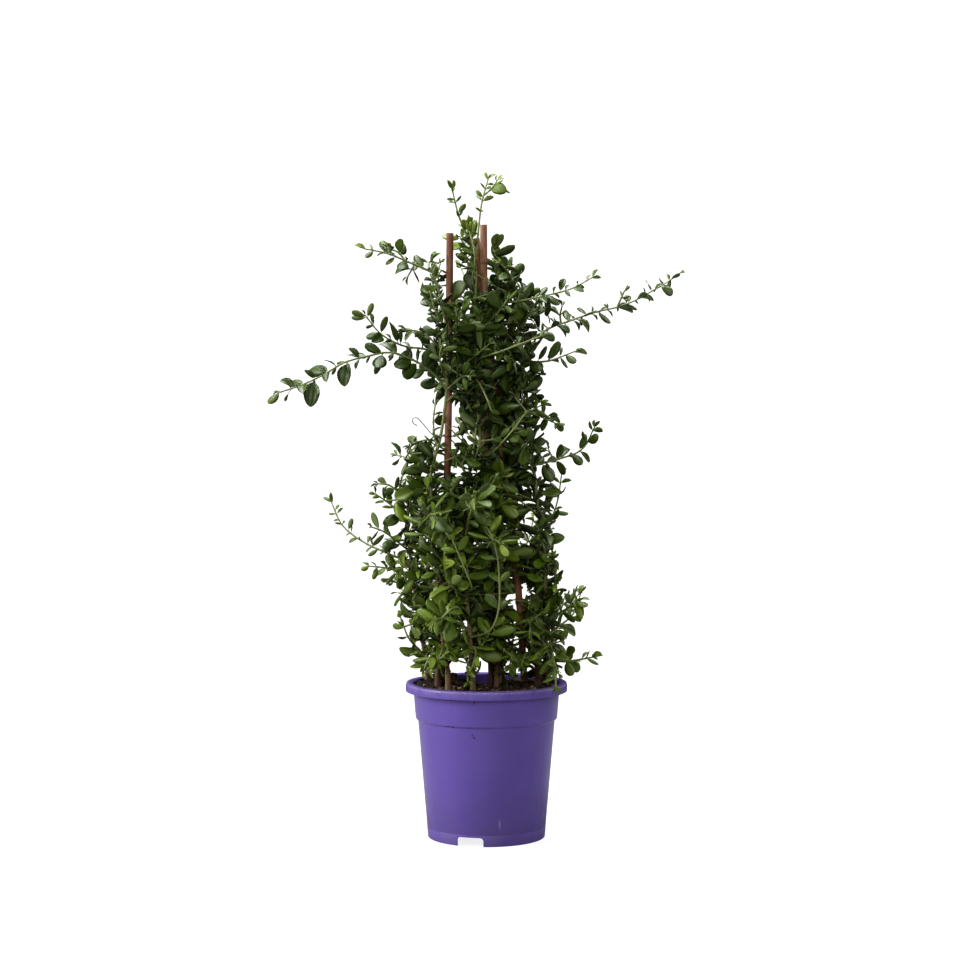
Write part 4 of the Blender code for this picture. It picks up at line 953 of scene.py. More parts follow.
LONG_SHOOTS = {
    "leafy_stem_left": [
        (0.80, [(-57, -26, 592), (-64, -30, 597), (-83, -36, 602), (-108, -44, 612), (-125, -50, 614)]),
        (1.00, [(-41.5, -24, 470), (-54, -34, 486), (-67, -41, 495), (-85, -50, 505), (-105, -59, 508),
                (-120, -66, 504), (-142, -76, 498), (-162, -86, 486), (-178, -93, 477),
                (-209, -107, 466)]),
        (0.90, [(-40.5, -24, 490), (-54, -30, 507), (-65, -34, 512), (-76, -38, 512), (-93, -46, 518),
                (-107, -54, 526), (-120, -62, 537), (-124, -66, 546)]),
        (1.00, [(-53, -35, 295), (-58, -56, 318), (-60, -83, 336), (-56, -112, 345), (-50, -134, 346)]),
    ],
    "leafy_stem_centre": [
        (0.55, [(-16, -12, 621), (-22, -14, 636), (-27, -16, 646), (-32, -18, 659), (-36, -20, 671),
                (-36, -22, 679)]),
        (0.55, [(-11, -11, 606), (-9, -7, 628), (-7, -3, 655), (-3, 0, 672), (2, 4, 692)]),
        (0.65, [(-13, -10, 548), (8, -17, 558), (40, -23, 563), (59, -27, 567), (79, -31, 572),
                (96, -35, 577), (110, -39, 586)]),
        (0.70, [(-11, -10, 496), (8, -14, 507), (30, -14, 514), (47, -10, 522), (61, 4, 533),
                (81, 26, 541), (102, 47, 549), (126, 68, 557), (150, 87, 563), (175, 104, 576),
                (196, 118, 588), (216, 130, 602)]),
        (0.75, [(-5, -9, 395), (8, -20, 412), (28, -31, 435), (46, -38, 449), (58, -43, 455)]),
        (1.00, [(9, -8, 270), (10, -30, 290), (6, -60, 308), (8, -92, 318), (14, -122, 316)]),
    ],
    "leafy_stem_right": [
        (1.00, [(37, -2, 500), (50, -12, 501), (64, -18, 500), (78, -23, 502), (92, -26, 510)]),
        (0.80, [(49, 0, 391), (66, -6, 396), (92, -10, 402), (106, -13, 416), (113, -15, 432)]),
        (0.75, [(60, 0, 300), (66, 10, 322), (72, 17, 346), (79, 22, 362), (80, 26, 382)]),
        (0.90, [(44, -1, 449), (53, -10, 447), (65, -22, 442), (72, -34, 434)]),
        (1.00, [(60, 0, 226), (74, -18, 236), (86, -40, 246), (92, -64, 254), (90, -86, 262)]),
    ],
    "leafy_stem_back": [
        (0.90, [(8, 42, 385), (0, 64, 402), (-8, 92, 414), (-20, 118, 422), (-30, 134, 434)]),
        (0.90, [(9, 49, 262), (20, 70, 278), (36, 92, 292), (48, 112, 310), (52, 124, 330)]),
        (0.85, [(12, 36, 505), (4, 56, 520), (-10, 76, 532), (-28, 90, 542), (-46, 98, 556)]),
        (0.90, [(14, 48, 215), (-4, 66, 228), (-26, 84, 240), (-48, 98, 246)]),
    ],
    "leafy_stem_front": [
        (1.00, [(-23.5, -41, 300), (-20, -64, 330), (-14, -92, 350), (-10, -120, 358),
                (-12, -138, 366)]),
        (1.00, [(-17.5, -44, 220), (-30, -62, 232), (-44, -84, 238), (-56, -104, 238)]),
        (1.00, [(-19, -37, 380), (-30, -50, 398), (-40, -68, 410), (-46, -86, 414)]),
    ],
    "leafy_stem_low_left": [
        (0.80, [(-83, 7, 330), (-96, 0, 345), (-105, -5, 354), (-117, -10, 362)]),
        (0.50, [(-80, 5, 288), (-96, 6, 296), (-117, 10, 302), (-137, 16, 314), (-150, 20, 324),
                (-160, 22, 336), (-165, 24, 352)]),
        (0.80, [(-78, 5, 270), (-95, -8, 280), (-112, -18, 288), (-124, -26, 287)]),
        (0.80, [(-65, 4, 190), (-76, -4, 200), (-84, -12, 216), (-90, -20, 234)]),
        (0.85, [(-74, 4.5, 245), (-88, 24, 256), (-98, 46, 268), (-100, 70, 284)]),
    ],
    "leafy_stem_low_right": [
        (0.80, [(64, 25, 182), (74, 16, 184), (86, 8, 184), (99, 0, 184), (112, -8, 190)]),
        (0.85, [(70, 27, 214), (84, 36, 222), (96, 50, 234), (102, 66, 250)]),
    ],
}

LEADER = "leader"
LONG_SHOOT = "long shoot"
SIDE_SHOOT = "side shoot"
WEAK_SHOOT = "weak shoot"
PALE_SHOOT = "pale shoot"
STEM_RADII = {LEADER: (0.0026, 0.0011), LONG_SHOOT: (0.0014, 0.0010), SIDE_SHOOT: (0.0016, 0.0012),
              WEAK_SHOOT: (0.0012, 0.0008), PALE_SHOOT: (0.0011, 0.0008)}
STEM_SIDES = {LEADER: 5, LONG_SHOOT: 4, SIDE_SHOOT: 3, WEAK_SHOOT: 4, PALE_SHOOT: 4}
LEADER_STEP = 0.036
LONG_SHOOT_STEP = 0.026
LONG_SHOOT_LIGHT = Vector((0.0, -0.8, 0.5))
LONG_SHOOT_LIGHT_SWING = 0.4
FIRST_SHOOT = (0.3, 1.0)
SIDE_SHOOT_STEPS = 3
SIDE_SHOOT_RISE = (-5, 45)
SIDE_SHOOT_LIFT = (0, 35)
SIDE_SHOOT_TURN = (-30, 30)
LATE_TRY_SPREAD = (-80, 80)
LATE_TRY_LENGTH = 0.7
LIGHT_RISE = (0.2, 1.0)
LIGHT_SWING = 0.6
BARE_LEADER_TIP = 0.006
GOLDEN_ANGLE = math.radians(137.5)
FOLIAGE_REACH = (
    (0.170, 0.072), (0.280, 0.090), (0.400, 0.076), (0.500, 0.068), (0.580, 0.056), (0.640, 0.036),
)
SPACING_CHANGE = (0.85, 1.15)
CLEARANCE = 0.0009
MAIN_SEED = 7
UP = Vector((0.0, 0.0, 1.0))
ANY_SIDE = Vector((1.0, 0.3, 0.0))

# Main side shoots, which the solids have too, and the finer ones between them. The finer ones and
# their leaves keep to an outline: at each height, how far they reach left, right and in depth.
MAIN_SIDE_SHOOTS = {"spacing": 0.034, "lengths": (0.040, 0.072), "tries": 10, "lowest": 0.190}
FINE_SIDE_SHOOTS = {"spacing": 0.0088, "lengths": (0.018, 0.060), "tries": 9, "lowest": 0.172}
TWIGS = {"spacing": 0.024, "lengths": (0.010, 0.026), "tries": 5, "lowest": 0.175}
FINE_OUTLINE = (
    (0.165, 0.068, 0.072, 0.080), (0.224, 0.080, 0.084, 0.098), (0.276, 0.102, 0.082, 0.104),
    (0.328, 0.110, 0.070, 0.098), (0.381, 0.090, 0.072, 0.086), (0.433, 0.080, 0.058, 0.080),
    (0.486, 0.080, 0.056, 0.076), (0.538, 0.072, 0.066, 0.066), (0.591, 0.062, 0.050, 0.056),
    (0.640, 0.046, 0.026, 0.036),
)
FINE_SEED = 23
OUTLINE_INSET_OF_SHOOTS = 0.006
OUTLINE_SLACK_OF_LEAVES = 0.004

# Weak shoots that the solids leave out: some fill the gaps higher up, and low ones hang over the rim.
WEAK_SHOOTS = {
    "leafy_stem_left": [
        (0.80, [(-40.5, -23.5, 500), (-47, -8, 520), (-51, 2, 545), (-52, 6, 568), (-50, 8, 592)]),
        (1.00, [(-40.5, -24, 498), (-54, -42, 519), (-68, -48, 529), (-82, -52, 531)]),
        (0.80, [(-42, -23.5, 535), (-50, -34, 546), (-55, -40, 558), (-58, -42, 572)]),
        (1.00, [(-40, -23.5, 513), (-34, -40, 526), (-30, -50, 540), (-32, -56, 554)]),
        (1.00, [(-40.5, -24, 482), (-46, -44, 492), (-48, -56, 504), (-44, -62, 518)]),
        (0.80, [(-50, -25.5, 405), (-53.5, -20, 420), (-55.5, -16, 437), (-53.5, -12, 454)]),
        (1.00, [(-60, -28, 595), (-60, -18, 602), (-56, -10, 606), (-50, -6, 602)]),
        (1.00, [(-83, -36, 602), (-88, -34, 609), (-95, -34, 614), (-103, -36, 616)]),
        (1.00, [(-74, -33, 600), (-77, -34, 594), (-81, -36, 587)]),
        (1.00, [(-44, -24, 551), (-52, -18, 566), (-56, -14, 580), (-56, -12, 592)]),
        (0.90, [(-41, -24, 470), (-32, -44, 478), (-24, -56, 484), (-17, -64, 484)]),
        (1.00, [(-50, -25.5, 415), (-58, -16, 418), (-68, -10, 417), (-79, -6, 411)]),
        (1.00, [(-41.5, -38, 186), (-50, -52, 197), (-58, -61, 196), (-64, -68, 184)]),
        (1.00, [(-57.5, -28, 380), (-70, -20, 392), (-84, -14, 400), (-94, -10, 402)]),
    ],
    "leafy_stem_right": [
        (0.90, [(60, 1, 245), (52, -10, 252), (46, -24, 254), (44, -36, 248)]),
        (0.90, [(61, 1, 262), (56, 12, 270), (49, 22, 272), (44, 30, 266)]),
        (0.95, [(29.5, -1, 562), (42, 8, 568), (56, 12, 562), (66, 14, 546)]),
        (0.95, [(48, 0, 400), (40, 10, 412), (30, 16, 420), (22, 20, 420)]),
        (0.95, [(50.5, 0, 378), (38, 10, 372), (28, 14, 380), (20, 14, 394)]),
        (0.80, [(57, 2, 200), (60, -16, 206), (66, -36, 196), (74, -52, 178)]),
        (0.75, [(55, 3, 186), (46, -14, 194), (40, -34, 196), (36, -54, 186)]),
        (0.90, [(58, 2, 215), (64, -22, 214), (68, -46, 200), (70.5, -62, 182), (71, -68, 166)]),
        (0.80, [(60, 1, 230), (52, -18, 236), (46, -40, 232), (44, -60, 218)]),
    ],
    "leafy_stem_centre": [
        (1.15, [(-15.5, -12, 620), (-15, -16, 632), (-13.5, -18, 642)]),
        (1.10, [(-11.5, -11, 600), (-19, -18, 606), (-26, -22, 610)]),
        (0.80, [(11, -8, 196), (22, -20, 204), (26, -40, 200), (24, -58, 186)]),
        (0.70, [(79, 24, 540), (78, 23, 550), (80, 21, 559)]),
        (0.70, [(142, 81, 561), (146, 81, 570), (150, 80, 579)]),
        (0.75, [(11, -8, 215), (26, -4, 222), (38, -8, 216), (48, -16, 200)]),
    ],
    "leafy_stem_front": [
        (0.90, [(-15.5, -46, 196), (-28, -48, 208), (-38, -56, 206), (-48, -66, 192)]),
        (0.90, [(-15, -47, 192), (-18, -56, 192), (-20, -63, 184), (-19, -66, 172)]),
        (1.00, [(-16, -46, 200), (-12, -58, 206), (-11, -68, 200), (-14, -76, 188)]),
    ],
    "leafy_stem_low_left": [
        (1.00, [(-80.5, 5.5, 300), (-94, -10, 312), (-106, -22, 322), (-120, -30, 328)]),
        (1.00, [(-83.5, 8, 352), (-96, 2, 366), (-106, -4, 372), (-114, -8, 372)]),
        (0.80, [(-63, 4, 180), (-56, -12, 196), (-58, -32, 200), (-66, -50, 190)]),
    ],
    "leafy_stem_back": [
        (0.80, [(16, 48, 186), (30, 58, 196), (46, 64, 194), (58, 66, 180)]),
        (0.80, [(16, 48, 196), (-2, 58, 206), (-20, 66, 202), (-34, 74, 186)]),
        (1.00, [(7, 40.5, 420), (22, 34, 436), (36, 32, 444), (48, 34, 444)]),
        (1.00, [(11.5, 36.5, 490), (-4, 30, 500), (-20, 26, 502), (-34, 26, 496)]),
    ],
}
# This year's shoots, pale and nearly bare, which cross in front of the leaves.
PALE_SHOOTS = {
    "leafy_stem_front": [
        [(-16.6, -45.5, 214), (4, -76, 226), (12.5, -92, 250), (12.6, -96, 285), (9, -97, 312),
         (1, -96, 330)],
        [(-20.7, -42.7, 262), (-15, -74, 268), (-21.8, -90, 289), (-34, -94, 318)],
    ],
    "leafy_stem_left": [
        [(-50.5, -36, 270), (-47, -66, 276), (-52.5, -82, 285), (-60, -86, 296)],
    ],
    "leafy_stem_centre": [
        [(-11.5, -10, 500), (-5.6, -46, 503), (15, -66, 509), (36, -68, 517), (55.3, -60, 524.5)],
        [(-9.8, -9.5, 475), (-10, -52, 480), (-4, -70, 470), (1.5, -76, 458), (4.6, -76, 449)],
        [(-5.5, -9, 400), (4.5, -46, 404), (16, -68, 416), (28, -74, 430), (39.1, -70, 444.5)],
        [(-12.2, -10.5, 576), (-14.5, -30, 585), (-11.8, -40, 604), (-14.5, -40, 622),
         (-17.8, -38, 634)],
    ],
}


def in_metres(points):
    """Points that are listed in millimetres, in metres."""
    return [tuple(part / 1000 for part in point) for point in points]


def route_length(points):
    """Length of a route from its first point to its last."""
    return sum((second - first).length for first, second in zip(points, points[1:]))


def place_on_route(points, distance):
    """The point at a distance along a route, and the direction of the route there."""
    for first, second in zip(points, points[1:]):
        length = (second - first).length
        if distance <= length:
            break
        distance -= length
    forward = (second - first).normalized()
    return first + forward * min(distance, length), forward


def tapered(first, last, count):
    """Values that fall evenly from the first to the last."""
    return [first + (last - first) * number / (count - 1) for number in range(count)]


def across_from(forward, hint):
    """The direction nearest to the hint that is square to forward."""
    across = hint - forward * hint.dot(forward)
    if across.length < 1e-4:
        across = forward.orthogonal()
    return across.normalized()


def tube_shape(points, radii, sides):
    """Points and faces of a closed tube along a route."""
    corners = []
    across = across_from((points[1] - points[0]).normalized(), ANY_SIDE)
    for index, (point, radius) in enumerate(zip(points, radii)):
        before = points[max(index - 1, 0)]
        after = points[min(index + 1, len(points) - 1)]
        forward = (after - before).normalized()
        across = across_from(forward, across)
        other = forward.cross(across)
        for side in range(sides):
            angle = 2 * math.pi * side / sides
            corners.append(point + radius * (math.cos(angle) * across + math.sin(angle) * other))
    faces = [list(range(sides))[::-1]] + faces_between_rings(len(points), sides)
    faces.append([(len(points) - 1) * sides + side for side in range(sides)])
    return corners, faces


class Space:
    """The shapes placed so far, sorted into cubes so that near ones are found quickly."""

    CUBE = 0.020

    def __init__(self):
        self.cubes = {}
        self.shapes = []

    def cubes_of(self, corners):
        """The numbers of the cubes that a shape reaches into."""
        spans = []
        for axis in range(3):
            parts = [corner[axis] for corner in corners]
            spans.append(range(math.floor(min(parts) / self.CUBE),
                               math.floor(max(parts) / self.CUBE) + 1))
        return itertools.product(*spans)

    def add(self, corners, faces):
        """Take up room. The number returned stands for the shape."""
        number = len(self.shapes)
        self.shapes.append(BVHTree.FromPolygons(corners, faces))
        for cube in self.cubes_of(corners):
            self.cubes.setdefault(cube, []).append(number)
        return number

    def is_free(self, corners, faces, besides=()):
        """Whether a shape touches nothing but the shapes that it grows from."""
        tree = BVHTree.FromPolygons(corners, faces)
        tested = set(besides)
        for cube in self.cubes_of(corners):
            for number in self.cubes.get(cube, ()):
                if number not in tested:
                    tested.add(number)
                    if tree.overlap(self.shapes[number]):
                        return False
        return True


class Shoot:
    """A leader or a shoot: its kind, its route, its leaves' light and size, and its tube."""

    def __init__(self, kind, points, light, leaf_size, space):
        self.kind = kind
        self.points = points
        self.light = light
        self.leaf_size = leaf_size
        self.nodes = []
        radii = tapered(*STEM_RADII[kind], len(points))
        self.number = space.add(*tube_shape(points, radii, STEM_SIDES[kind]))


def reach_at(height):
    """How far from the pot's axis the side shoots reach at a height."""
    for (low, low_reach), (high, high_reach) in zip(FOLIAGE_REACH, FOLIAGE_REACH[1:]):
        if height <= high:
            share = max(0.0, (height - low) / (high - low))
            return low_reach + (high_reach - low_reach) * share
    return FOLIAGE_REACH[-1][1]


def within_outline(place, slack):
    """Whether a place keeps to the outline of the plant, give or take the slack."""
    for low, high in zip(FINE_OUTLINE, FINE_OUTLINE[1:]):
        if place.z <= high[0]:
            break
    share = min(max((place.z - low[0]) / (high[0] - low[0]), 0.0), 1.0)
    left, right, depth = (low[part] + (high[part] - low[part]) * share for part in (1, 2, 3))
    wide = (left if place.x < 0 else right) + slack
    return math.hypot(place.x / wide, place.y / (depth + slack)) < 1.0


def arching_route(start, heading, chance, length):
    """A route that leaves at some angle above level, bends up and swings to one side."""
    rise = math.radians(chance.uniform(*SIDE_SHOOT_RISE))
    lift = math.radians(chance.uniform(*SIDE_SHOOT_LIFT))
    turn = math.radians(chance.uniform(*SIDE_SHOOT_TURN))
    points = [start]
    for number in range(SIDE_SHOOT_STEPS):
        share = (number + 0.5) / SIDE_SHOOT_STEPS
        level = heading + turn * share
        slope = rise + lift * share
        step = Vector((math.cos(level) * math.cos(slope), math.sin(level) * math.cos(slope),
                       math.sin(slope)))
        points.append(points[-1] + step * (length / SIDE_SHOOT_STEPS))
    return points


def grow_side_shoots(parent, pattern, clearance, chance, space):
    """Short shoots round a longer one, wherever there is room for them."""
    shoots = []
    spacing, lengths, tries = pattern["spacing"], pattern["lengths"], pattern["tries"]
    heading = chance.uniform(0, 2 * math.pi)
    distance = spacing * chance.uniform(*FIRST_SHOOT)
    total = route_length(parent.points)
    radii = [radius + clearance for radius in tapered(*STEM_RADII[SIDE_SHOOT], SIDE_SHOOT_STEPS + 1)]
    while distance < total - BARE_LEADER_TIP:
        start, _ = place_on_route(parent.points, distance)
        distance += spacing * chance.uniform(*SPACING_CHANGE)
        if start.z < pattern["lowest"]:
            continue
        outward = math.atan2(start.y, start.x)
        for number in range(tries):
            heading += GOLDEN_ANGLE
            length = chance.uniform(*lengths)
            if number > tries // 2:
                heading = outward + math.radians(chance.uniform(*LATE_TRY_SPREAD))
                length *= LATE_TRY_LENGTH
            points = arching_route(start, heading, chance, length)
            tip = points[-1]
            if parent.kind == LEADER and pattern is MAIN_SIDE_SHOOTS:
                if math.hypot(tip.x, tip.y) > reach_at(tip.z):
                    continue
            elif parent.kind == LEADER and not within_outline(tip, -OUTLINE_INSET_OF_SHOOTS):
                continue
            room = tube_shape(points, radii, STEM_SIDES[LONG_SHOOT])
            if space.is_free(*room, besides=[parent.number]):
                light = Vector((math.cos(outward), math.sin(outward), chance.uniform(*LIGHT_RISE)))
                light += LIGHT_SWING * Vector((chance.uniform(-1, 1), chance.uniform(-1, 1), 0.0))
                shoots.append(Shoot(SIDE_SHOOT, points, light, 1.0, space))
                break
    return shoots


def plant_main_shoots(chance, space):
    """Leaders, long shoots and main side shoots of every leafy stem."""
    stems = {}
    for name, listed in LEADERS.items():
        route = in_metres(listed)
        foot = Vector(route[0]) - UP * PLANTED_DEPTH
        stems[name] = [Shoot(LEADER, [foot] + smooth_route(route, LEADER_STEP), UP, 1.0, space)]
    for name, routes in LONG_SHOOTS.items():
        for leaf_size, route in routes:
            swing = chance.uniform(-LONG_SHOOT_LIGHT_SWING, LONG_SHOOT_LIGHT_SWING)
            stems[name].append(Shoot(LONG_SHOOT, smooth_route(in_metres(route), LONG_SHOOT_STEP),
                                     LONG_SHOOT_LIGHT + Vector((swing, 0.0, 0.0)), leaf_size, space))
    for shoots in stems.values():
        shoots += grow_side_shoots(shoots[0], MAIN_SIDE_SHOOTS, CLEARANCE, chance, space)
    return stems


# Leaves: oval, thick and glossy, dark green with a pale underside, three main veins and a finely
# toothed edge. They stand alternately on short stalks, with tufts of small young ones at the tips.

LEAF_SPACING = {LEADER: 0.0450, LONG_SHOOT: 0.0200, SIDE_SHOOT: 0.0280}
LEAF_LOOSENESS = {LEADER: 0.40, LONG_SHOOT: 0.25, SIDE_SHOOT: 0.50, WEAK_SHOOT: 0.40,
                  PALE_SHOOT: 0.30}
LEAF_LENGTH = (0.0210, 0.0280)
LEAF_WIDTH_RATIO = 0.62
LEAF_WIDTH_CHANGE = (0.92, 1.08)
YOUNG_LEAF_SHARE = 0.62
YOUNG_STRETCH = 0.022
AGEING_STRETCH = 0.035
SMALLEST_LEAF = 0.45
SMALL_LEAF_SIZE = 0.75
SPACING_OF_SMALLEST = 0.3
FIRST_LEAF = 0.010
FIRST_LEADER_LEAF = 0.060
LAST_LEAF = 0.004
TIP_LEAF_INSET = 0.0025
LEAF_LEAN = (0.3, 0.9)
TIP_LEAF_LEAN = (1.5, 3.0)
LEAF_SWING = 0.5
LEAF_TILT = 0.1
LEADER_LEAF_TILT = 0.9
LEAF_TRIES = 6
LEAF_DROOP = 0.16
LEAF_KEEL = 0.0013
STALK_HALF_WIDTH = 0.0006
STALK_KEEL = 0.0007
LARGE_LEAF_STATIONS = ((0.30, 0.74), (0.62, 1.00), (0.88, 0.62))
SMALL_LEAF_STATIONS = ((0.40, 0.96), (0.76, 0.88))
ROOM_HALF_ROOT = 0.0016
ROOM_STATIONS = (0.34, 0.78)
ROOM_END = 1.04

# Leaves near the outer limits shrink step by step until they keep this far inside.
MAIN_LEAF_MARGIN = 0.0012
SHRINK_STEP = 0.97

# Further leaves that fill in the plant between the main ones.
FINE_CLEARANCE = 0.0002
FIRST_FINE_LEAF = 0.004
FINE_SHRINK_PER_TRY = 0.07
FINE_SPACING = {LEADER: 0.0080, LONG_SHOOT: 0.0130, SIDE_SHOOT: 0.0078, WEAK_SHOOT: 0.0085,
                PALE_SHOOT: 0.0260}
FINE_SIZE = {LEADER: (0.60, 1.12), LONG_SHOOT: (0.50, 0.95), SIDE_SHOOT: (0.62, 1.15),
             WEAK_SHOOT: (0.60, 1.00), PALE_SHOOT: (0.45, 0.80)}
FINE_TRIES = 8
FINE_NARROWING = (0.55, 1.05)
WEAK_SHOOT_STEP = 0.014
PALE_SHOOT_STEP = 0.009
PALE_SHOOT_LIGHT = Vector((0.0, -1.0, 0.6))
PALE_SHOOT_SHIFTS = [0.003 * number for number in range(-4, 14)]
PALE_SHOOT_FRONT = -0.138
PALE_SHOOT_ROOM = (0.0012, 0.002, 0.0006)
WEAK_SHOOT_RISE = 0.6
FEWEST_LEAVES = 3
FINE_LEAF_LOWEST = 0.170
BOX_MARGIN = 0.0030
TUFT_COUNT = {LEADER: 5, LONG_SHOOT: 5, SIDE_SHOOT: 3, WEAK_SHOOT: 4, PALE_SHOOT: 4}
TUFT_SIZE = (0.24, 0.44)
TUFT_DEPTH = 0.002
TUFT_LEAN = (0.8, 3.0)
TUFT_AGE = (0.10, 0.50)
TUFT_TRIES = 3
# At the left more side shoots are fresh and paler: partly young growth, partly painted light from the
# left.
FRESH_AND_LIT_SHARE_AT_LEFT = 0.32
FRESH_SHOOT_SHARE = 0.08
LEFT_PART = -0.050
FRESH_AGE = 0.4
STALK_SHARE = 0.11
STALK_MIDDLE = 0.05
STALK_HALF = 0.026
BLADE_THICKNESS = 0.016
STALK_THICKENING = 0.030
WAVE_HEIGHT = 0.008
WAVES = 26.0
TOOTH_REACH = (0.965, 1.035)
YOUNG_STALK_HALF = 0.09
NARROW_LEAF_LENGTH = 0.011
NARROWEST = 0.62
WIDENING = 0.34
YOUNG_LEAF_LENGTH = 0.0125
YOUNG_FORM = 4
# How far each form of leaf droops, folds up, bulges and twists.
GROWN_FORMS = {
    "open_leaf": (0.14, 0.0, 0.09, 0.0), "cupped_leaf": (0.20, 0.38, -0.02, 0.10),
    "arched_leaf": (0.32, 0.0, 0.12, -0.15), "twisted_leaf": (0.14, 0.16, 0.05, 0.50),
}
YOUNG_BENDS = (0.14, 0.35, 0.0, 0.10)
GROWN_STATIONS = (0.0, 0.09, 0.21, 0.34, 0.48, 0.62, 0.76, 0.88, 0.96, 1.0)
YOUNG_STATIONS = (0.0, 0.20, 0.50, 0.80, 1.0)

LEAF_COLOURS = ((0.0, (0.250, 0.330, 0.022)), (0.30, (0.120, 0.196, 0.007)),
                (0.65, (0.068, 0.120, 0.003)), (1.0, (0.041, 0.080, 0.002)))
FRESH_AND_LIT_GREEN = (0.134, 0.190, 0.014)
DARK_GREEN = (0.022, 0.046, 0.002)
VEIN_GREEN = (0.118, 0.166, 0.020)
UNDERSIDE_GREEN = (0.120, 0.154, 0.062)
STALK_GREEN = (0.160, 0.216, 0.060)

# Where the canes and the tie show between the leaves: two corners of the room kept clear, in
# millimetres.
WINDOWS = [in_metres(room) for room in (
    ((-46, -150, 572), (-33, -10, 650)), ((-48, -150, 385), (-37, -16, 480)),
    ((-9, -150, 572), (3, 0, 655)), ((-6, -150, 412), (3, -12, 436)), ((29, -150, 240), (40, 15, 275)),
    ((30, -150, 195), (41, 15, 218)), ((-85, -150, 426), (-58, 150, 447)),
)]
# Small gaps in the foliage that show the background, which only stems cross.
GAPS = [in_metres(room) for room in (
    ((-38, -150, 160), (-26, 150, 190)), ((-7, -150, 160), (2, 150, 190)),
    ((12, -150, 165), (18, 150, 182)), ((41, -150, 312), (52, 150, 338)),
    ((-31, -150, 571), (-22, 150, 597)), ((-38, -150, 412), (-31, 150, 454)),
    ((-20, -150, 414), (-10, 150, 427)),
)]


class Leaf:
    """Where one blade grows, how it points, how large it is and how long ago it opened."""

    def __init__(self, root, forward, face, length, width, stations, age):
        self.root = root
        self.stations = stations
        self.forward = forward.normalized()
        self.face = across_from(self.forward, face)
        self.side = self.forward.cross(self.face)
        self.length = length
        self.width = width
        self.age = age

    def point(self, along, across, rise):
        """A point of the blade. It droops towards its tip."""
        droop = LEAF_DROOP * self.length * along * along
        return (self.root + self.forward * (along * self.length)
                + self.side * across + self.face * (rise - droop))


def blade_shape(leaf):
    """Points and faces of a blade: flat on top, with a keel below its midrib."""
    sections = [(0.0, STALK_HALF_WIDTH, STALK_KEEL)]
    sections += [(along, share * leaf.width / 2, LEAF_KEEL) for along, share in leaf.stations]
    corners = []
    for along, half_width, keel in sections:
        corners.append(leaf.point(along, -half_width, 0.0))
        corners.append(leaf.point(along, half_width, 0.0))
        corners.append(leaf.point(along, 0.0, -keel))
    corners.append(leaf.point(1.0, 0.0, -LEAF_KEEL / 2))
    faces = [[0, 1, 2]]
    for section in range(len(sections) - 1):
        low = 3 * section
        for first, second in ((0, 1), (1, 2), (2, 0)):
            faces.append([low + first, low + second, low + 3 + second])
            faces.append([low + first, low + 3 + second, low + 3 + first])
    low = 3 * (len(sections) - 1)
    tip = len(corners) - 1
    faces += [[low, low + 1, tip], [low + 1, low + 2, tip], [low + 2, low, tip]]
    return corners, faces


def room_around_blade(leaf):
    """A flat box round a blade, with some air between the two."""
    half = leaf.width / 2 + CLEARANCE
    near, far = ROOM_STATIONS
    outline = ((0.0, -ROOM_HALF_ROOT), (near, -half), (far, -half), (ROOM_END, 0.0), (far, half),
               (near, half), (0.0, ROOM_HALF_ROOT))
    corners = [leaf.point(along, across, CLEARANCE) for along, across in outline]
    corners += [leaf.point(along, across, -LEAF_KEEL - CLEARANCE) for along, across in outline]
    return corners, prism_faces(len(outline))


def thin_blade(leaf):
    """A flat box that just holds a blade, leaving out its stalk."""
    half = leaf.width / 2
    outline = ((0.20, -0.35 * half), (0.42, -half), (0.80, -0.9 * half), (1.00, 0.0),
               (0.80, 0.9 * half), (0.42, half), (0.20, 0.35 * half))
    corners = [leaf.point(along, across, FINE_CLEARANCE) for along, across in outline]
    corners += [leaf.point(along, across, -2 * FINE_CLEARANCE) for along, across in outline]
    return corners, prism_faces(len(outline))


def random_direction(chance):
    """A vector whose three parts lie between -1 and 1."""
    return Vector((chance.uniform(-1, 1), chance.uniform(-1, 1), chance.uniform(-1, 1)))


def leaf_on(shoot, distance, heading, lean, size, stations, chance):
    """A leaf at a distance along a shoot, turned round it by the heading."""
    root, forward = place_on_route(shoot.points, distance)
    lit_side = across_from(forward, shoot.light)
    outward = Matrix.Rotation(heading, 3, forward) @ forward.cross(lit_side)
    face = lit_side + LEAF_TILT * forward
    if shoot.kind == LEADER:
        face = UP + LEADER_LEAF_TILT * outward
    face += LEAF_LOOSENESS[shoot.kind] * random_direction(chance)
    length = chance.uniform(*LEAF_LENGTH) * size
    width = length * LEAF_WIDTH_RATIO * chance.uniform(*LEAF_WIDTH_CHANGE)
    age = min(1.0, (route_length(shoot.points) - distance) / AGEING_STRETCH)
    return Leaf(root, outward + forward * lean, face, length, width, stations, age)


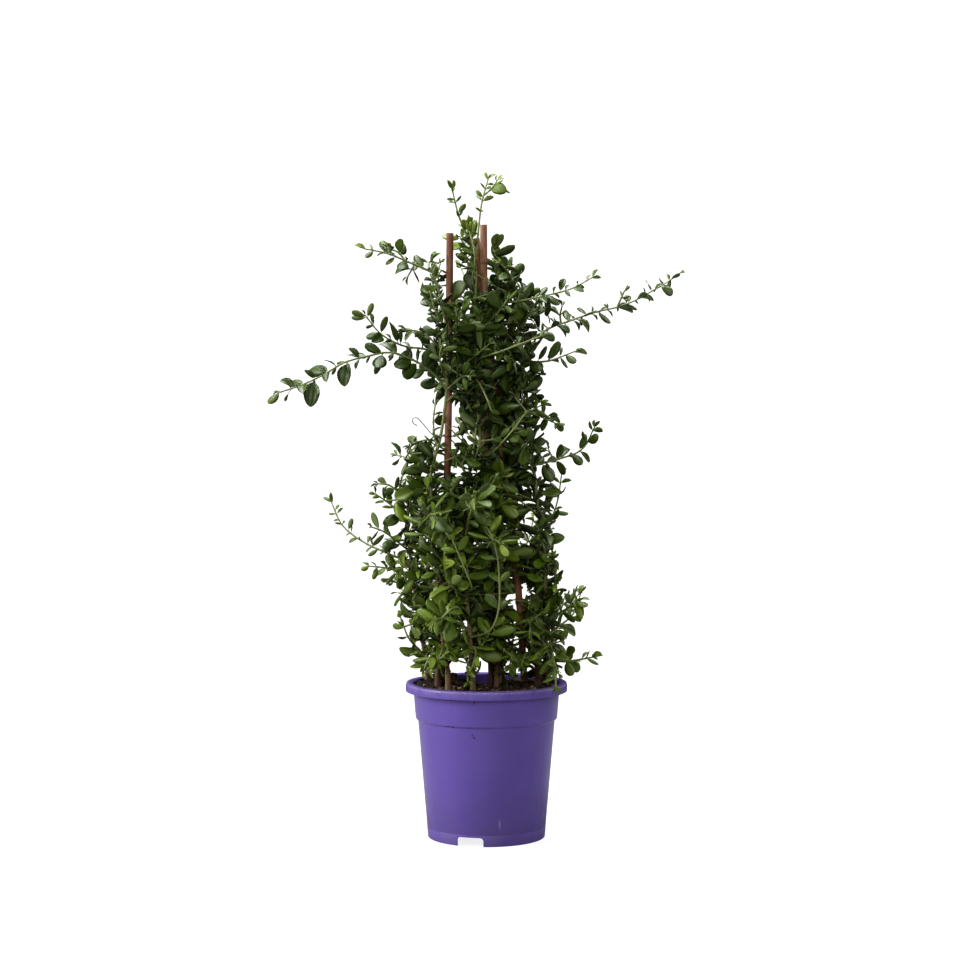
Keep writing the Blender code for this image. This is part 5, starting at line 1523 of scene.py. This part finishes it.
def grow_main_leaves(shoot, spacing, first, chance, space):
    """Alternate leaves along a shoot and one at its tip, wherever there is room for them."""
    leaves = []
    stations = SMALL_LEAF_STATIONS
    if shoot.kind == LONG_SHOOT and shoot.leaf_size >= SMALL_LEAF_SIZE:
        stations = LARGE_LEAF_STATIONS
    total = route_length(shoot.points)
    step = GOLDEN_ANGLE if shoot.kind == LEADER else math.pi
    heading = chance.choice((0.0, math.pi))
    distance = first
    while distance < total - LAST_LEAF:
        heading += step
        young = total - distance < YOUNG_STRETCH
        size = shoot.leaf_size * (YOUNG_LEAF_SHARE if young else 1.0)
        for number in range(LEAF_TRIES):
            swing = LEAF_SWING * (chance.uniform(-1, 1) + (number // 2) * (-1) ** number)
            leaf = leaf_on(shoot, distance, heading + swing, chance.uniform(*LEAF_LEAN), size,
                           stations, chance)
            if space.is_free(*room_around_blade(leaf), besides=[shoot.number]):
                leaves.append(leaf)
                shoot.nodes.append(distance)
                space.add(*blade_shape(leaf))
                break
        distance += spacing * chance.uniform(*SPACING_CHANGE)
    tip_size = max(shoot.leaf_size * YOUNG_LEAF_SHARE, SMALLEST_LEAF)
    for number in range(LEAF_TRIES):
        leaf = leaf_on(shoot, total - TIP_LEAF_INSET, chance.uniform(-math.pi, math.pi),
                       chance.uniform(*TIP_LEAF_LEAN), tip_size, SMALL_LEAF_STATIONS, chance)
        if space.is_free(*room_around_blade(leaf), besides=[shoot.number]):
            leaves.append(leaf)
            space.add(*blade_shape(leaf))
            break
    return leaves


def leaf_corners(leaf):
    """The two widest points and the tip of a leaf."""
    return [leaf.point(along, across, 0.0)
            for along, across in ((0.5, leaf.width / 2), (0.5, -leaf.width / 2), (1.0, 0.0))]


def keeps_to_box(leaf, margin):
    """Whether a leaf stays inside the box of the CAD model."""
    corners = leaf_corners(leaf)
    return all(cad_low[axis] + margin < corner[axis] < cad_high[axis] - margin
               for corner in corners for axis in range(3))


def hides_one_of(leaf, rooms):
    """Whether a leaf reaches into a room that is kept clear."""
    places = [leaf.point(along, across * leaf.width, 0.0)
              for along in (0.25, 0.5, 0.75, 1.0) for across in (-0.5, 0.0, 0.5)]
    return any(all(low[axis] < place[axis] < high[axis] for axis in range(3))
               for place in places for low, high in rooms)


def has_room(leaf, shoot, space):
    """Whether a leaf touches nothing, hides nothing and keeps to the box and to the outline."""
    if not keeps_to_box(leaf, BOX_MARGIN) or hides_one_of(leaf, kept_clear):
        return False
    tip = leaf_corners(leaf)[2]
    if shoot.kind in (LEADER, SIDE_SHOOT) and not within_outline(tip, OUTLINE_SLACK_OF_LEAVES):
        return False
    return space.is_free(*thin_blade(leaf), besides=[shoot.number])


def drawn_forward(route, leader, space):
    """The points of a pale shoot, drawn forward until it passes in front of the main leaves."""
    for shift in PALE_SHOOT_SHIFTS:
        drawn = [route[0]] + [(x, max(y - shift, PALE_SHOOT_FRONT), z) for x, y, z in route[1:]]
        points = smooth_route(drawn, PALE_SHOOT_STEP)
        radii = [radius + FINE_CLEARANCE for radius in tapered(*STEM_RADII[PALE_SHOOT], len(points))]
        if space.is_free(*tube_shape(points, radii, STEM_SIDES[PALE_SHOOT]), besides=[leader.number]):
            return points
    return []


def rooms_before(points):
    """Boxes in front of a shoot, one for each step of it, which leave it in view."""
    beside, before, above = PALE_SHOOT_ROOM
    rooms = []
    for first, second in zip(points, points[1:]):
        left, right = sorted((first.x, second.x))
        bottom, top = sorted((first.z, second.z))
        rooms.append(((left - beside, cad_low[1], bottom - above),
                      (right + beside, min(first.y, second.y) - before, top + above)))
    return rooms


def box_shape(low, high):
    """Points and faces of a box between two corners."""
    outline = ((low[0], low[1]), (high[0], low[1]), (high[0], high[1]), (low[0], high[1]))
    corners = [Vector((x, y, z)) for z in (low[2], high[2]) for x, y in outline]
    return corners, prism_faces(4)


def grow_fine_leaves(shoot, chance, space):
    """Pairs of further leaves between the main ones, and a tuft of small ones at the tip."""
    leaves = []
    total = route_length(shoot.points)
    heading = chance.uniform(-math.pi, math.pi)
    distance = FIRST_FINE_LEAF + FINE_SPACING[shoot.kind] * chance.random()
    while distance < total - LAST_LEAF:
        heading += GOLDEN_ANGLE if shoot.kind == LEADER else math.pi / 2
        start, _ = place_on_route(shoot.points, distance)
        size = shoot.leaf_size * chance.uniform(*FINE_SIZE[shoot.kind])
        for side in ((0.0, math.pi) if start.z > FINE_LEAF_LOWEST else ()):
            narrowing = chance.uniform(*FINE_NARROWING)
            for number in range(FINE_TRIES):
                swing = LEAF_SWING * (chance.uniform(-1, 1) + (number // 2) * (-1) ** number)
                leaf = leaf_on(shoot, distance, heading + side + swing, chance.uniform(*LEAF_LEAN),
                               size * (1 - FINE_SHRINK_PER_TRY * number), (), chance)
                leaf.width *= narrowing
                if has_room(leaf, shoot, space):
                    leaves.append(leaf)
                    shoot.nodes.append(distance)
                    space.add(*thin_blade(leaf))
                    break
        distance += FINE_SPACING[shoot.kind] * chance.uniform(*SPACING_CHANGE)
    for number in range(TUFT_COUNT[shoot.kind]):
        for _ in range(TUFT_TRIES):
            leaf = leaf_on(shoot, total - TUFT_DEPTH * chance.random(), heading + number * GOLDEN_ANGLE,
                           chance.uniform(*TUFT_LEAN), chance.uniform(*TUFT_SIZE), (), chance)
            leaf.age = chance.uniform(*TUFT_AGE)
            if has_room(leaf, shoot, space):
                leaves.append(leaf)
                space.add(*thin_blade(leaf))
                break
    return leaves


def blade_half_width(share):
    """Half the width of a blade of unit width: rounded at the tip and widest beyond the middle."""
    return 0.5 * max(math.sin(math.pi * min(share, 0.995) ** 1.15), 0.0) ** 0.48


def leaf_form(name, stations, inner_columns, teeth, droop, fold, bulge, twist, stalk_half):
    """A closed blade of unit length and width: stalk, oval blade with a toothed edge, and tip."""
    def place(along, across, scale=1.0):
        share = max(0.0, (along - STALK_SHARE) / (1 - STALK_SHARE))
        half = max(blade_half_width(share) * scale, stalk_half)
        wide = min(half / 0.5, 1.0)
        rise = -droop * along * along + twist * across * half * along
        rise += wide * (fold * abs(across) * half - bulge * across * across)
        rise += wide * WAVE_HEIGHT * abs(across) * math.sin(along * WAVES)
        return along, across * half, rise

    alongs = [0.0, STALK_MIDDLE] + [STALK_SHARE + (1 - STALK_SHARE) * share for share in stations]
    corners = []
    rings = []
    for along in alongs:
        ring = list(range(len(corners), len(corners) + len(inner_columns) + 1))
        corners += [place(along, across) for across in inner_columns]
        half = max(blade_half_width(max(0.0, (along - STALK_SHARE) / (1 - STALK_SHARE))), stalk_half)
        narrow = 1 - min(half / 0.5, 1.0)
        underside = place(along, 0.0)[2] - BLADE_THICKNESS - STALK_THICKENING * narrow
        corners.append((along, 0.0, underside))
        rings.append(ring)
    edges = []
    for side in (-1.0, 1.0):
        edge = []
        count = 0
        for number in range(len(alongs)):
            steps = teeth if 2 <= number < len(alongs) - 1 else 1
            after = alongs[min(number + 1, len(alongs) - 1)]
            start = len(corners)
            for step in range(steps):
                along = alongs[number] + (after - alongs[number]) * step / steps
                scale = 1.0 if teeth == 1 or number < 3 else TOOTH_REACH[count % 2]
                corners.append(place(along, side, scale))
                count += 1
            edge.append(list(range(start, start + steps)))
        edges.append(edge)
    left, right = edges
    faces = []
    undersides = []
    for number in range(len(alongs) - 1):
        near, far = rings[number], rings[number + 1]
        for column in range(len(inner_columns) - 1):
            faces.append([near[column], near[column + 1], far[column + 1], far[column]])
            undersides.append(0.0)
        left_run = left[number] + left[number + 1][:1]
        right_run = right[number] + right[number + 1][:1]
        faces.append([near[0], far[0]] + left_run[::-1])
        faces.append([near[-2]] + right_run + [far[-2]])
        undersides += [0.0, 0.0]
        faces.append([near[-1]] + left_run + [far[-1]])
        faces.append([near[-1], far[-1]] + right_run[::-1])
        undersides += [1.0, 1.0]
    for number in (0, len(alongs) - 1):
        ring = rings[number]
        faces.append([left[number][0]] + ring[:-1] + [right[number][0], ring[-1]])
        undersides.append(0.0)
    thing = object_from(name, corners, faces)
    turn_faces_out(thing.data)
    unwrapped = thing.data.uv_layers.new(name="blade")
    for loop in thing.data.loops:
        along, across, _ = corners[loop.vertex_index]
        unwrapped.data[loop.index].uv = (along, 0.5 + across)
    under = thing.data.attributes.new("underside", "FLOAT", "FACE")
    under.data.foreach_set("value", undersides)
    thing.data.shade_smooth()
    return thing


def make_leaf_tree(forms):
    """One leaf form on each point, turned, sized and picked as the point says."""
    tree, given, result = nodes_tree("leaves_on_nodes", {"Material": "Material"})
    points = add_node(tree, "GeometryNodeMeshToPoints", {"Mesh": given.outputs["Geometry"]})
    form, turn, size = (
        add_node(tree, "GeometryNodeInputNamedAttribute", {"Name": name}, data_type=kind).outputs[0]
        for name, kind in (("form", "INT"), ("turn", "FLOAT_VECTOR"), ("size", "FLOAT_VECTOR")))
    rotation = add_node(tree, "FunctionNodeEulerToRotation", {0: turn})
    placed = add_node(tree, "GeometryNodeInstanceOnPoints", {
        "Points": points.outputs[0], "Instance": one_of(tree, forms[::-1]), "Pick Instance": True,
        "Instance Index": form, "Rotation": rotation.outputs[0], "Scale": size})
    end_tree(tree, given, result, placed.outputs[0])
    return tree


def leaf_points(name, leaves, chance):
    """A point for each leaf, which holds its turn, size, age, tone and form."""
    thing = object_from(name, [leaf.root for leaf in leaves])
    turns = []
    sizes = []
    forms = []
    tones = []
    for leaf in leaves:
        axes = Matrix((leaf.forward, leaf.face.cross(leaf.forward), leaf.face)).transposed()
        turns += list(axes.to_euler("XYZ"))
        grown = min(1.0, max(0.0, (leaf.length - NARROW_LEAF_LENGTH) / NARROW_LEAF_LENGTH))
        sizes += [leaf.length, leaf.width * (NARROWEST + WIDENING * grown), leaf.length]
        forms.append(YOUNG_FORM if leaf.length < YOUNG_LEAF_LENGTH else chance.randrange(YOUNG_FORM))
        tones.append(chance.random())
    for label, kind, slot, values in (
            ("turn", "FLOAT_VECTOR", "vector", turns), ("size", "FLOAT_VECTOR", "vector", sizes),
            ("form", "INT", "value", forms), ("tone", "FLOAT", "value", tones),
            ("age", "FLOAT", "value", [leaf.age for leaf in leaves])):
        stored = thing.data.attributes.new(label, kind, "POINT")
        stored.data.foreach_set(slot, values)
    return thing


def colour_by_age(tree, age, colours):
    """A colour that changes with age, from young to old. Each colour comes with its age."""
    ramp = add_node(tree, "ShaderNodeValToRGB", {"Fac": age})
    first, *between, last = colours
    ramp.color_ramp.elements[0].color = (*first[1], 1.0)
    ramp.color_ramp.elements[1].color = (*last[1], 1.0)
    for position, colour in between:
        ramp.color_ramp.elements.new(position).color = (*colour, 1.0)
    return ramp.outputs["Color"]


def leaf_surface():
    """Glossy green that darkens with age, with paler veins and a matt grey-green underside.

    Painted shade darkens the leaves in the dense upper part most; painted light makes those near the
    soil paler.
    """
    material, tree, shader = new_material("glossy_leaf", roughness=0.45, specular_ior_level=0.50)
    unwrapped = add_node(tree, "ShaderNodeUVMap", uv_map="blade").outputs["UV"]
    place = add_node(tree, "ShaderNodeSeparateXYZ", {"Vector": unwrapped})
    age, tone, under = (stored_value(tree, name) for name in ("age", "tone", "underside"))
    along = place.outputs["X"]
    out = combined(tree, "ABSOLUTE", combined(tree, "SUBTRACT", place.outputs["Y"], 0.5))
    midrib = ranged(tree, out, 0.012, 0.040, 1.0, 0.0)
    arc = times(tree, combined(tree, "SINE", times(tree, along, 2.9)), 0.26)
    from_arc = combined(tree, "ABSOLUTE", combined(tree, "SUBTRACT", out, arc))
    side_veins = ranged(tree, from_arc, 0.006, 0.024, 0.8, 0.0)
    slanted = combined(tree, "SUBTRACT", along, times(tree, out, 0.8))
    ribs = combined(tree, "PINGPONG", times(tree, slanted, 9.0), 0.5)
    fine_veins = ranged(tree, ribs, 0.0, 0.10, 0.5, 0.0)
    veins = combined(tree, "MAXIMUM", midrib, combined(tree, "MAXIMUM", side_veins, fine_veins))
    cloudy = patches_of(tree, 0.006, 1.0, 3.0, 2.0)
    height = place_of(tree, "Z")
    # Leaves pale towards fresh green by their own random tone and, as painted light, near the soil.
    fresh_and_lit = combined(tree, "ADD", times(tree, tone, 0.58), ranged(tree, height, 0.19, 0.28, 0.40, 0.0))
    toned = mixed(tree, fresh_and_lit, colour_by_age(tree, age, LEAF_COLOURS), FRESH_AND_LIT_GREEN)
    # Painted shade: leaves in the dense middle of the plant are painted darker.
    dense = times(tree, ranged(tree, height, 0.27, 0.42, 0.0, 0.70),
                  ranged(tree, height, 0.58, 0.66, 1.0, 0.0))
    dark = combined(tree, "MAXIMUM", times(tree, cloudy, 0.35), dense)
    shaded = mixed(tree, dark, toned, DARK_GREEN)
    veined = mixed(tree, times(tree, veins, 0.18), shaded, VEIN_GREEN)
    below = mixed(tree, 0.5, veined, UNDERSIDE_GREEN)
    stalk = ranged(tree, along, 0.08, 0.14, 1.0, 0.0)
    colour = mixed(tree, stalk, mixed(tree, under, veined, below), STALK_GREEN)
    dressed(tree, shader, colour, ranged(tree, under, 0.0, 1.0, 0.45, 0.72))
    sunken = combined(tree, "MAXIMUM", midrib, side_veins)
    swelling = times(tree, combined(tree, "SUBTRACT", 1.0, sunken), age)
    bumped(tree, shader, swelling, 0.12, 0.00015)
    return material


occupied = Space()
for node_name in ("pot", "soil", *CANES, "wire_tie"):
    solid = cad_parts[node_name].data
    occupied.add([corner.co.copy() for corner in solid.vertices],
                 [list(face.vertices) for face in solid.polygons])
main_chance = random.Random(MAIN_SEED)
all_shoots = plant_main_shoots(main_chance, occupied)
all_leaves = {}
for stem_name, (leader, *shoots) in all_shoots.items():
    all_leaves[stem_name] = []
    for shoot in shoots:
        spacing = LEAF_SPACING[shoot.kind]
        spacing *= SPACING_OF_SMALLEST + (1 - SPACING_OF_SMALLEST) * shoot.leaf_size
        all_leaves[stem_name] += grow_main_leaves(shoot, spacing, FIRST_LEAF, main_chance, occupied)
    all_leaves[stem_name] += grow_main_leaves(leader, LEAF_SPACING[LEADER], FIRST_LEADER_LEAF,
                                              main_chance, occupied)
for stem_name, leaves in all_leaves.items():
    all_leaves[stem_name] = [leaf for leaf in leaves if not hides_one_of(leaf, WINDOWS)]
    for leaf in all_leaves[stem_name]:
        while not keeps_to_box(leaf, MAIN_LEAF_MARGIN):
            leaf.length *= SHRINK_STEP
            leaf.width *= SHRINK_STEP

main_shoots = [shoot for shoots in all_shoots.values() for shoot in shoots]
fine_chance = random.Random(FINE_SEED)
for window in WINDOWS:
    occupied.add(*box_shape(*window))
kept_clear = WINDOWS + GAPS
for stem_name, routes in PALE_SHOOTS.items():
    for route in routes:
        points = drawn_forward(in_metres(route), all_shoots[stem_name][0], occupied)
        if points:
            kept_clear += rooms_before(points)
            all_shoots[stem_name].append(Shoot(PALE_SHOOT, points, PALE_SHOOT_LIGHT, 1.0, occupied))
for stem_name, routes in WEAK_SHOOTS.items():
    for leaf_size, listed in routes:
        route = in_metres(listed)
        outward = Vector((route[-1][0], route[-1][1], 0.0)).normalized()
        all_shoots[stem_name].append(Shoot(WEAK_SHOOT, smooth_route(route, WEAK_SHOOT_STEP),
                                           outward + WEAK_SHOOT_RISE * UP, leaf_size, occupied))
for shoots in all_shoots.values():
    longer = [shoot for shoot in shoots if shoot.kind not in (SIDE_SHOOT, PALE_SHOOT)]
    for parent in longer:
        pattern = FINE_SIDE_SHOOTS if parent.kind == LEADER else TWIGS
        shoots += grow_side_shoots(parent, pattern, FINE_CLEARANCE, fine_chance, occupied)
for stem_name, shoots in all_shoots.items():
    for shoot in list(shoots):
        fine_leaves = grow_fine_leaves(shoot, fine_chance, occupied)
        if len(fine_leaves) < FEWEST_LEAVES and shoot.kind != PALE_SHOOT and shoot not in main_shoots:
            shoots.remove(shoot)
            continue
        # Painted light: side shoots at the left are more often given fresh, paler leaves.
        at_left = shoot.points[-1].x < LEFT_PART
        fresh_and_lit_share = FRESH_AND_LIT_SHARE_AT_LEFT if at_left else FRESH_SHOOT_SHARE
        if shoot.kind == SIDE_SHOOT and fine_chance.random() < fresh_and_lit_share:
            for leaf in fine_leaves:
                leaf.age *= FRESH_AGE
        all_leaves[stem_name] += fine_leaves

WOOD_STEP = 0.006
WOOD_CURVE_STEP = 0.004
WOOD_SIDES = 7
WOOD_RADII = {**STEM_RADII, SIDE_SHOOT: (0.0011, 0.0006), LONG_SHOOT: (0.0013, 0.0007)}
NODE_HALF_LENGTH = 0.0016
NODE_SWELLING = 1.35
FLARE = 0.35
FLARE_TOP = 0.205
FLARE_HEIGHT = 0.035
LEADER_AGES = (1.15, 0.15)
LEADER_AGE_FROM = 0.165
LEADER_AGE_FALL = 0.26
SHOOT_AGE = 0.30
BARK_COLOURS = ((0.0, (0.200, 0.245, 0.078)), (0.35, (0.170, 0.205, 0.070)),
                (0.70, (0.165, 0.140, 0.066)), (1.0, (0.225, 0.146, 0.080)))
BARK_CRACK = (0.110, 0.070, 0.035)
LOOK_SEED = 31


def wood_age(shoot, place, share):
    """How old and corky a stem is: 1 at the soil and 0 at the growing tips."""
    if shoot.kind == LEADER:
        oldest, youngest = LEADER_AGES
        return max(youngest, min(1.0, oldest - (place.z - LEADER_AGE_FROM) / LEADER_AGE_FALL))
    return SHOOT_AGE * (1 - share)


def wood_route(shoot):
    """A shoot's centre line, with its thickness and age. It swells where a leaf grows."""
    fine = smooth_route(shoot.points, WOOD_CURVE_STEP)
    total = route_length(fine)
    count = max(2, round(total / WOOD_STEP))
    marks = {total * number / count: 1.0 for number in range(count + 1)}
    for node in shoot.nodes:
        for offset, swelling in ((-NODE_HALF_LENGTH, 1.0), (0.0, NODE_SWELLING),
                                 (NODE_HALF_LENGTH, 1.0)):
            if 0.0 < node + offset < total:
                marks[node + offset] = swelling
    first, last = WOOD_RADII[shoot.kind]
    route = []
    for distance in sorted(marks):
        place, _ = place_on_route(fine, min(distance, total - 0.00001))
        share = distance / total
        flare = 1.0 + FLARE * max(0.0, min(1.0, (FLARE_TOP - place.z) / FLARE_HEIGHT))
        radius = (first + (last - first) * share) * flare * marks[distance]
        route.append((place, radius, wood_age(shoot, place, share)))
    return route


def stem_bark():
    """Yellow-green skin on young stems, which turns to tan cork with darker cracks near the soil."""
    material, tree, shader = new_material("stem_bark", roughness=0.55)
    age = stored_value(tree, "age")
    grain = patches_of(tree, 0.0016, 3.0, 4.0, 3.0)
    cracked = times(tree, grain, ranged(tree, age, 0.35, 0.9, 0.10, 0.65))
    colour = mixed(tree, cracked, colour_by_age(tree, age, BARK_COLOURS), BARK_CRACK)
    dressed(tree, shader, colour, ranged(tree, age, 0.2, 0.9, 0.45, 0.85))
    bumped(tree, shader, grain, 0.5, 0.0005)
    return material


bark = stem_bark()
green_leaf = leaf_surface()
leaf_forms = [leaf_form(form_name, GROWN_STATIONS, (-0.5, 0.0, 0.5), 3, *bends, STALK_HALF)
              for form_name, bends in GROWN_FORMS.items()]
leaf_forms.append(leaf_form("young_leaf", YOUNG_STATIONS, (0.0,), 1, *YOUNG_BENDS, YOUNG_STALK_HALF))
leaf_tree = make_leaf_tree(leaf_forms)
look_chance = random.Random(LOOK_SEED)
for stem_name, shoots in all_shoots.items():
    wood = rods(stem_name + "_wood", [wood_route(shoot) for shoot in shoots], rod_tree, {
        "Sides": WOOD_SIDES, "Skin Roughness": 0.0004, "Skin Grain": 420.0, "Material": bark})
    blades = leaf_points(stem_name + "_leaves", all_leaves[stem_name], look_chance)
    grow_with(blades, leaf_tree, {"Material": green_leaf})
    for piece in (wood, blades):
        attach(piece, "root")
        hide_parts(stem_name)
for form in leaf_forms:
    bpy.data.objects.remove(form, do_unlink=True)


# Wire tie: a soft steel wire bent once round the left cane and its stem and twisted shut. One end
# was left long and curls away from the plant.

TIE_HEIGHT = 0.4215
TIE_WIRE_RADIUS = 0.0005
TIE_POINTS = 15
TIE_PITCH = 0.0022
TIE_SLACK = 0.0005
TIE_START = math.radians(285)
TIE_TURN = math.radians(330)
TIE_STEP = 0.0036
TIE_FINE_STEP = 0.0012
BARE_STEEL = (0.42, 0.41, 0.38)
TARNISHED_STEEL = (0.20, 0.18, 0.15)
TIE_END_DIRECTION = Vector((-0.92, -0.39, 0.0))
TIE_END = (
    (0.0060, -0.0005), (0.0120, -0.0005), (0.0170, 0.0030), (0.0215, 0.0080), (0.0270, 0.0140),
    (0.0315, 0.0180), (0.0360, 0.0180), (0.0370, 0.0145), (0.0345, 0.0115), (0.0315, 0.0105),
)


def point_at_height(points, height):
    """The point of a route that lies nearest to a height."""
    return min(points, key=lambda point: abs(point.z - height))


def tie_route():
    """One turn of wire round the left cane and leader, twisted shut, with one end curled back."""
    cane_middle = point_at_height(smooth_route(cane_points("cane_left"), TIE_STEP), TIE_HEIGHT)
    stem = smooth_route(in_metres(LEADERS["leafy_stem_left"]), TIE_STEP)
    stem_middle = point_at_height(stem, TIE_HEIGHT)
    long_way = across_from(UP, stem_middle - cane_middle)
    short_way = UP.cross(long_way)
    turn = []
    for number in range(TIE_POINTS):
        share = number / (TIE_POINTS - 1)
        angle = TIE_START + TIE_TURN * share
        way = long_way * math.cos(angle) + short_way * math.sin(angle)
        middle, radius = (cane_middle, CANE_RADIUS)
        if math.cos(angle) > 0:
            middle, radius = (stem_middle, STEM_RADII[LEADER][0])
        turn.append(middle + way * (radius + TIE_WIRE_RADIUS + TIE_SLACK) + UP * (TIE_PITCH * share))
    return turn + [turn[-1] + TIE_END_DIRECTION * out + UP * rise for out, rise in TIE_END]


def tie_steel():
    """Bare steel, dulled in patches."""
    material, tree, shader = new_material("dull_steel", metallic=0.9, roughness=0.4)
    tarnish = patches_of(tree, 0.004, 1.0, 4.0, 3.0)
    colour = mixed(tree, tarnish, BARE_STEEL, TARNISHED_STEEL)
    dressed(tree, shader, colour, ranged(tree, tarnish, 0.0, 1.0, 0.32, 0.60))
    return material


wire_route = [(point, TIE_WIRE_RADIUS, 0.0) for point in smooth_route(tie_route(), TIE_FINE_STEP)]
wire = rods("tie_wire", [wire_route], rod_tree, {
    "Sides": 8, "Skin Roughness": 0.0, "Skin Grain": 300.0, "Material": tie_steel()})
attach(wire, "root")
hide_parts("wire_tie")
